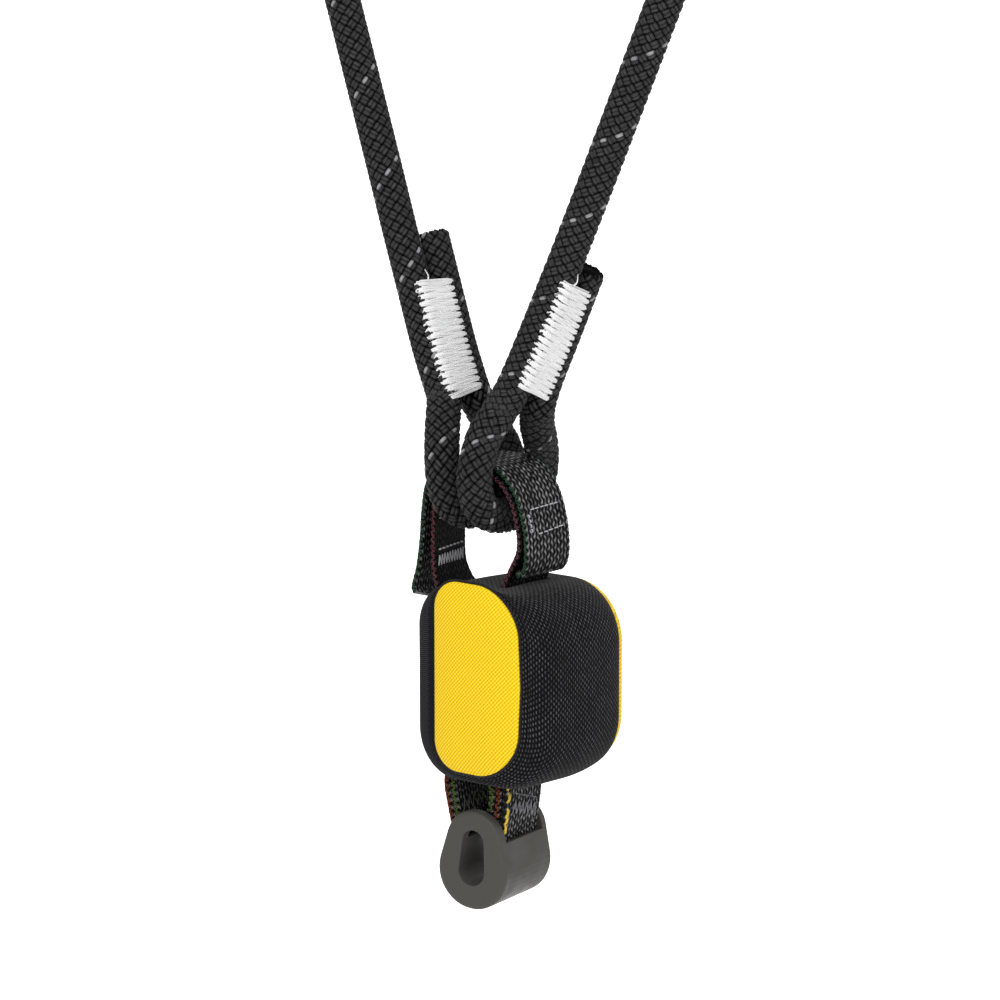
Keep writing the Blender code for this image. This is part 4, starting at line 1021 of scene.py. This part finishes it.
def pouch_end(side, sign):
    face = POUCH_HALF_DEPTH + GAP
    end, dome, full, power = (FRONT_END, FRONT_DOME, 2.2, 0.8) if sign < 0 else (REAR_END, REAR_DOME, 6.0, 0.4)
    bulge, edge = (FRONT_BULGE, PANEL_EDGES[0]) if sign < 0 else (0.0, PANEL_EDGES[1])
    reach = end[1][0] - GAP
    build = Builder()
    shares = np.concatenate([[1.0, 1.0], np.linspace(1.0, 0.05, 42)[1:]])
    rings = []
    for k, share in enumerate(shares):
        outline, _ = rounded_rectangle(*end, GAP + (1 - share) * reach, bulge=bulge * share)
        rise = 0.0 if k == 0 else edge + dome * (1 - share**full) ** power
        rings.append(np.stack([outline[:, 0], np.full(len(outline), sign * (face + rise)), outline[:, 1]], -1))
    centre = rings[-1].mean(0)
    rings += [centre + (rings[-1] - centre) * share for share in (0.66, 0.33, 0.08)]
    rings = np.array(rings)
    uvs = rings[:, :, [0, 2]] * np.array((sign * -1.0, 1.0))
    first = build.grid(rings, np.concatenate([uvs, uvs[:, :1]], 1))
    rim = np.arange(rings.shape[1])
    flat = (centre[0] * sign * -1.0, centre[2])
    build.fan(first + (len(rings) - 1) * rings.shape[1] + rim, centre, flat, rim_uv=uvs[-1])
    build.fan(first + rim, rings[0].mean(0), flat, turned=True, rim_uv=uvs[0])
    build.finish(f"pouch_{side}_face", [YELLOW_COVER], [f"pouch_{side}_panel"], "yellow_cover")

    which = 0 if sign < 0 else 1
    outline, _ = rounded_rectangle(*end, SEAM_INSETS[which], 300, bulge)
    y = sign * (face - 0.00005)
    points = np.stack([outline[:, 0], np.full(len(outline), y), outline[:, 1]], -1)
    middle = np.array((end[0][0], y, end[0][1]))
    build = Builder()
    sweep(build, points, unit(points - middle), SEAM_RADII[which], 10, closed=True)
    build.finish(f"pouch_{side}_seam", [SEAM_THREAD], [f"pouch_{side}_piping"], "black_cover")


# ---------------------------------------------------------------- zip
def zip_strip(offset):
    """A strip along the cover's left side, round whose corners' centres it bends, and the place of those centres."""
    centre, (half_x, half_z), (corner_r, _) = MIDDLE
    corner = centre[0] - half_x + corner_r
    low, high = centre[1] - half_z + corner_r, centre[1] + half_z - corner_r
    radius = corner_r + offset
    path = [*arc((corner, low), radius, 210, 180, 12), *arc((corner, high), radius, 180, 150, 12)]
    return Strip(path, curve=False), (corner, low, high)


def lie_on_cover(build, corners):
    """Lowers the points as the cover falls away from its middle, so that what is sewn to it lies on it."""
    corner, low, high = corners
    for points in build.points:
        front = points[:, 1] < 0
        fullness = np.where(front, FRONT_FULLNESS, REAR_FULLNESS)
        swelling = (1 - np.abs(points[:, 1] / POUCH_HALF_DEPTH) ** fullness) ** (1 / fullness)
        left = [centre[0] - half[0] for centre, half, _ in (FRONT_END, REAR_END, MIDDLE)]
        drop = (np.where(front, left[0], left[1]) - left[2]) * (1 - swelling)
        inner = np.stack([np.full(len(points), corner), np.clip(points[:, 2], low, high)], -1)
        points[:, [0, 2]] -= unit(points[:, [0, 2]] - inner) * drop[:, None]


def zip_parts():
    tape, corners = zip_strip(0.0002)
    for label, side in (("front", -1), ("rear", 1)):
        build = Builder()
        middle = side * (ZIP_COIL_WIDTH / 2 + GAP + ZIP_TAPE_WIDTH / 2)
        weave(build, tape, ZIP_TAPE_WIDTH - 0.0001, ZIP_TAPE_THICKNESS, middle=middle, rib_depth=0.00005)
        line = middle + side * 0.0021
        over = ZIP_TAPE_THICKNESS / 2 + 0.00005
        stitch_row(build, tape, (0.02, line), (0.98, line), 26, over, 0.7, 0.0002, 1)
        lie_on_cover(build, corners)
        build.finish(f"zip_{label}_tape_cloth", [TAPE, SEAM_THREAD], [f"zip_{label}_tape"], "black_cover")
    coil, _ = zip_strip(GAP + 0.00065)
    build = Builder()
    for side in (-1, 1):
        turns = coil.length / ZIP_COIL_PITCH
        phase = np.linspace(0, 2 * math.pi * turns, round(turns * 12))
        share = phase / phase[-1]
        points = coil.at(share, side * (0.0006 - 0.0007 * np.sin(phase)), 0.00042 * np.cos(phase))
        normals = coil.normals(share) * np.cos(phase)[:, None]
        normals[:, 1] -= side * np.sin(phase)
        sweep(build, points, normals, 0.00022)
    build.finish("zip_teeth", [SEAM_THREAD], ["zip_coil"], "black_cover")


# ---------------------------------------------------------------- inside the pouch
def pack():
    r = PACK_PITCH / 2
    half = WEBBING_THICKNESS / 2
    path = []
    low, high = PACK_BOTTOM + r + half, PACK_TOP - r - half
    for layer in range(PACK_LAYERS):
        x = PACK_LEFT + half + layer * PACK_PITCH
        upwards = layer % 2 == 0
        path += [(x, low), (x, high)] if upwards else [(x, high), (x, low)]
        if layer < PACK_LAYERS - 1:
            turn = arc((x + r, high if upwards else low), r, 180, 0 if upwards else 360, 8)
            path += turn[1:-1]
    strip = Strip(path, curve=False)
    build = Builder()
    weave(build, strip, WEBBING_WIDTH - DRAWN_SIDE, WEBBING_THICKNESS - 0.0001, rib_depth=0.0001)
    build.finish("folded_tear_webbing", [WEBBING], ["tear_webbing_pack"], "webbing")

    ring, neck = NECK_HALF_WIDTH - CONNECTOR_THICKNESS - 1.5 * GAP - half, END_FOLD_NECK / 2 - half - GAP / 2
    top = PACK_BOTTOM - GAP
    legs = [(-neck, top), (-neck, top - 0.0025)]
    path = [*legs, *arc((0.0, PIVOT_Z), ring, 122, 418, 16), *[(-x, z) for x, z in legs[::-1]]]
    build = Builder()
    weave(build, Strip(path, yaw=CONNECTOR_YAW), WEBBING_WIDTH - DRAWN_SIDE, WEBBING_THICKNESS - DRAWN_FACE)
    build.finish("end_fold_webbing", [WEBBING], ["tear_webbing_end_fold"], "webbing")

    left, right = PACK_LEFT - GAP, PACK_LEFT + WEBBING_THICKNESS + (PACK_LAYERS - 1) * PACK_PITCH + GAP
    middle, level = ((left + right) / 2, 0.0), (PACK_TOP + PACK_BOTTOM) / 2
    size = ((right - left) / 2 + BAND_WALL, WEBBING_WIDTH / 2 + GAP + BAND_WALL)
    rows = np.linspace(-1, 1, 61)
    rings = []
    for inset, order in ((0.00004, rows), (BAND_WALL - 0.00006, rows[::-1])):
        outline, around = rounded_rectangle(middle, size, (0.0016, 0.0016), inset, 240)
        for row in order:
            drawn = 0.00009 * (0.5 + 0.5 * math.cos(row * 60 * math.pi / 6)) if inset < BAND_WALL / 2 else 0.0
            shape = np.array(((1 - drawn / size[0]), (1 - drawn / size[1])))
            flat = np.array(middle) + (outline - np.array(middle)) * shape
            height = np.full(len(flat), level + row * (BAND_HEIGHT / 2 - 0.00005))
            rings.append(np.stack([flat[:, 0], flat[:, 1], height], -1))
    rings = np.array(rings)
    around = np.broadcast_to(np.linspace(0, around, 241)[None, :], (len(rings), 241))
    uvs = np.stack([around, np.broadcast_to(rings[:, :1, 2], around.shape)], -1)
    build = Builder()
    build.grid(rings, uvs, ring=True)
    build.finish("elastic_pack_band", [ELASTIC], ["pack_band"], "elastic")

    thick, wide, tall = LABEL_SIZE
    x = right + BAND_WALL + GAP + thick / 2
    across, up = np.linspace(-wide / 2, wide / 2, 33), np.linspace(-tall / 2, tall / 2, 45)
    bow = 0.00010 * np.sin(across[None, :] * 260 + up[:, None] * 120)
    thin = thick / 2 - 0.00012 - 0.00005 * (np.abs(across) > wide / 2 - 0.0008)[None, :]
    faces = []
    for way in (1, -1):
        rise = x + bow + way * np.broadcast_to(thin, bow.shape)
        grid_y, grid_z = np.broadcast_arrays(across[None, :], level + up[:, None])
        faces.append(np.stack([rise, grid_y, grid_z], -1)[:, ::way])
    points = np.concatenate(faces, 1)
    uvs = points[:, :, 1:]
    build = Builder()
    build.tube(points, np.concatenate([uvs, uvs[:, :1]], 1), points[[0, -1]].mean(1))
    build.finish("blank_label", [LABEL], ["inspection_label"], "label")


def main():
    set_camera()
    ropes = {side: braided_rope(side) for side in ("left", "right")}
    for side, (rope, centre, length) in ropes.items():
        stitches = [lower_tack(side), upper_tack(side)]
        [tuple(p) for p in centre[::4]] + [tuple(centre[-1])]
        nodes[side + "_arm_upper_positioner"]
    attachment_loop()
    connector_loop()
    pouch_wrap()
    pouch_end("front", -1)
    pouch_end("rear", 1)
    zip_parts()
    pack()
    rubber = ("left_arm_upper_positioner", "right_arm_upper_positioner", "connector_positioner")
    for name in (*rubber, "zip_slider", "zip_pull"):
        for slot in nodes[name].material_slots:
            slot.material = RUBBER if name in rubber else METAL

    floor_mesh = bpy.data.meshes.new("floor")
    reach, level = 30.0, -0.45
    corners = [(x * reach, y * reach, level) for x, y in ((-1, -1), (1, -1), (1, 1), (-1, 1))]
    floor_mesh.from_pydata(corners, [], [(0, 1, 2, 3)])
    floor = add_object("floor", floor_mesh)
    floor_mesh.materials.append(seen_white("floor", 0.9))

    world = bpy.data.worlds.new("studio")
    bpy.context.scene.world = world
    world.use_nodes = True
    tree = world.node_tree
    background = tree.nodes["Background"]
    background.inputs["Color"].default_value = (1.0, 1.0, 1.0, 1.0)
    tree.links.new(seen_directly(tree, 0.48), background.inputs["Strength"])

    add_lamp("key", (0.60, -1.50, 1.1), (1.4, 1.4), 25.0)
    add_lamp("side", (1.9, -0.2, 0.5), (1.2, 1.2), 10.0)
    add_lamp("back", (-0.8, 1.6, 1.2), (1.2, 1.2), 12.0)
    bpy.context.scene.view_settings.view_transform = "Standard"


def seen_directly(tree, otherwise):
    """1 for rays from the camera or off gloss and glass, and otherwise the light that the object gets."""
    path = tree.nodes.new("ShaderNodeLightPath")
    share = path.outputs["Is Camera Ray"]
    for name in ("Is Glossy Ray", "Is Transmission Ray"):
        node = tree.nodes.new("ShaderNodeMath")
        node.operation = "MAXIMUM"
        tree.links.new(share, node.inputs[0])
        tree.links.new(path.outputs[name], node.inputs[1])
        share = node.outputs[0]
    node = tree.nodes.new("ShaderNodeMapRange")
    tree.links.new(share, node.inputs[0])
    for socket, value in zip(list(node.inputs)[1:5], (0.0, 1.0, otherwise, 1.0)):
        socket.default_value = value
    return node.outputs[0]


def seen_white(name, colour):
    """A pale floor that keeps its shadow, and is white where the camera sees it lit."""
    made = bpy.data.materials.new(name)
    made.use_nodes = True
    tree = made.node_tree
    shader = tree.nodes["Principled BSDF"]
    shader.inputs["Base Color"].default_value = (colour, colour, colour, 1.0)
    shader.inputs["Roughness"].default_value = 0.9
    shader.inputs["Emission Color"].default_value = (1.0, 1.0, 1.0, 1.0)
    tree.links.new(seen_directly(tree, 0.0), shader.inputs["Emission Strength"])
    return made


main()
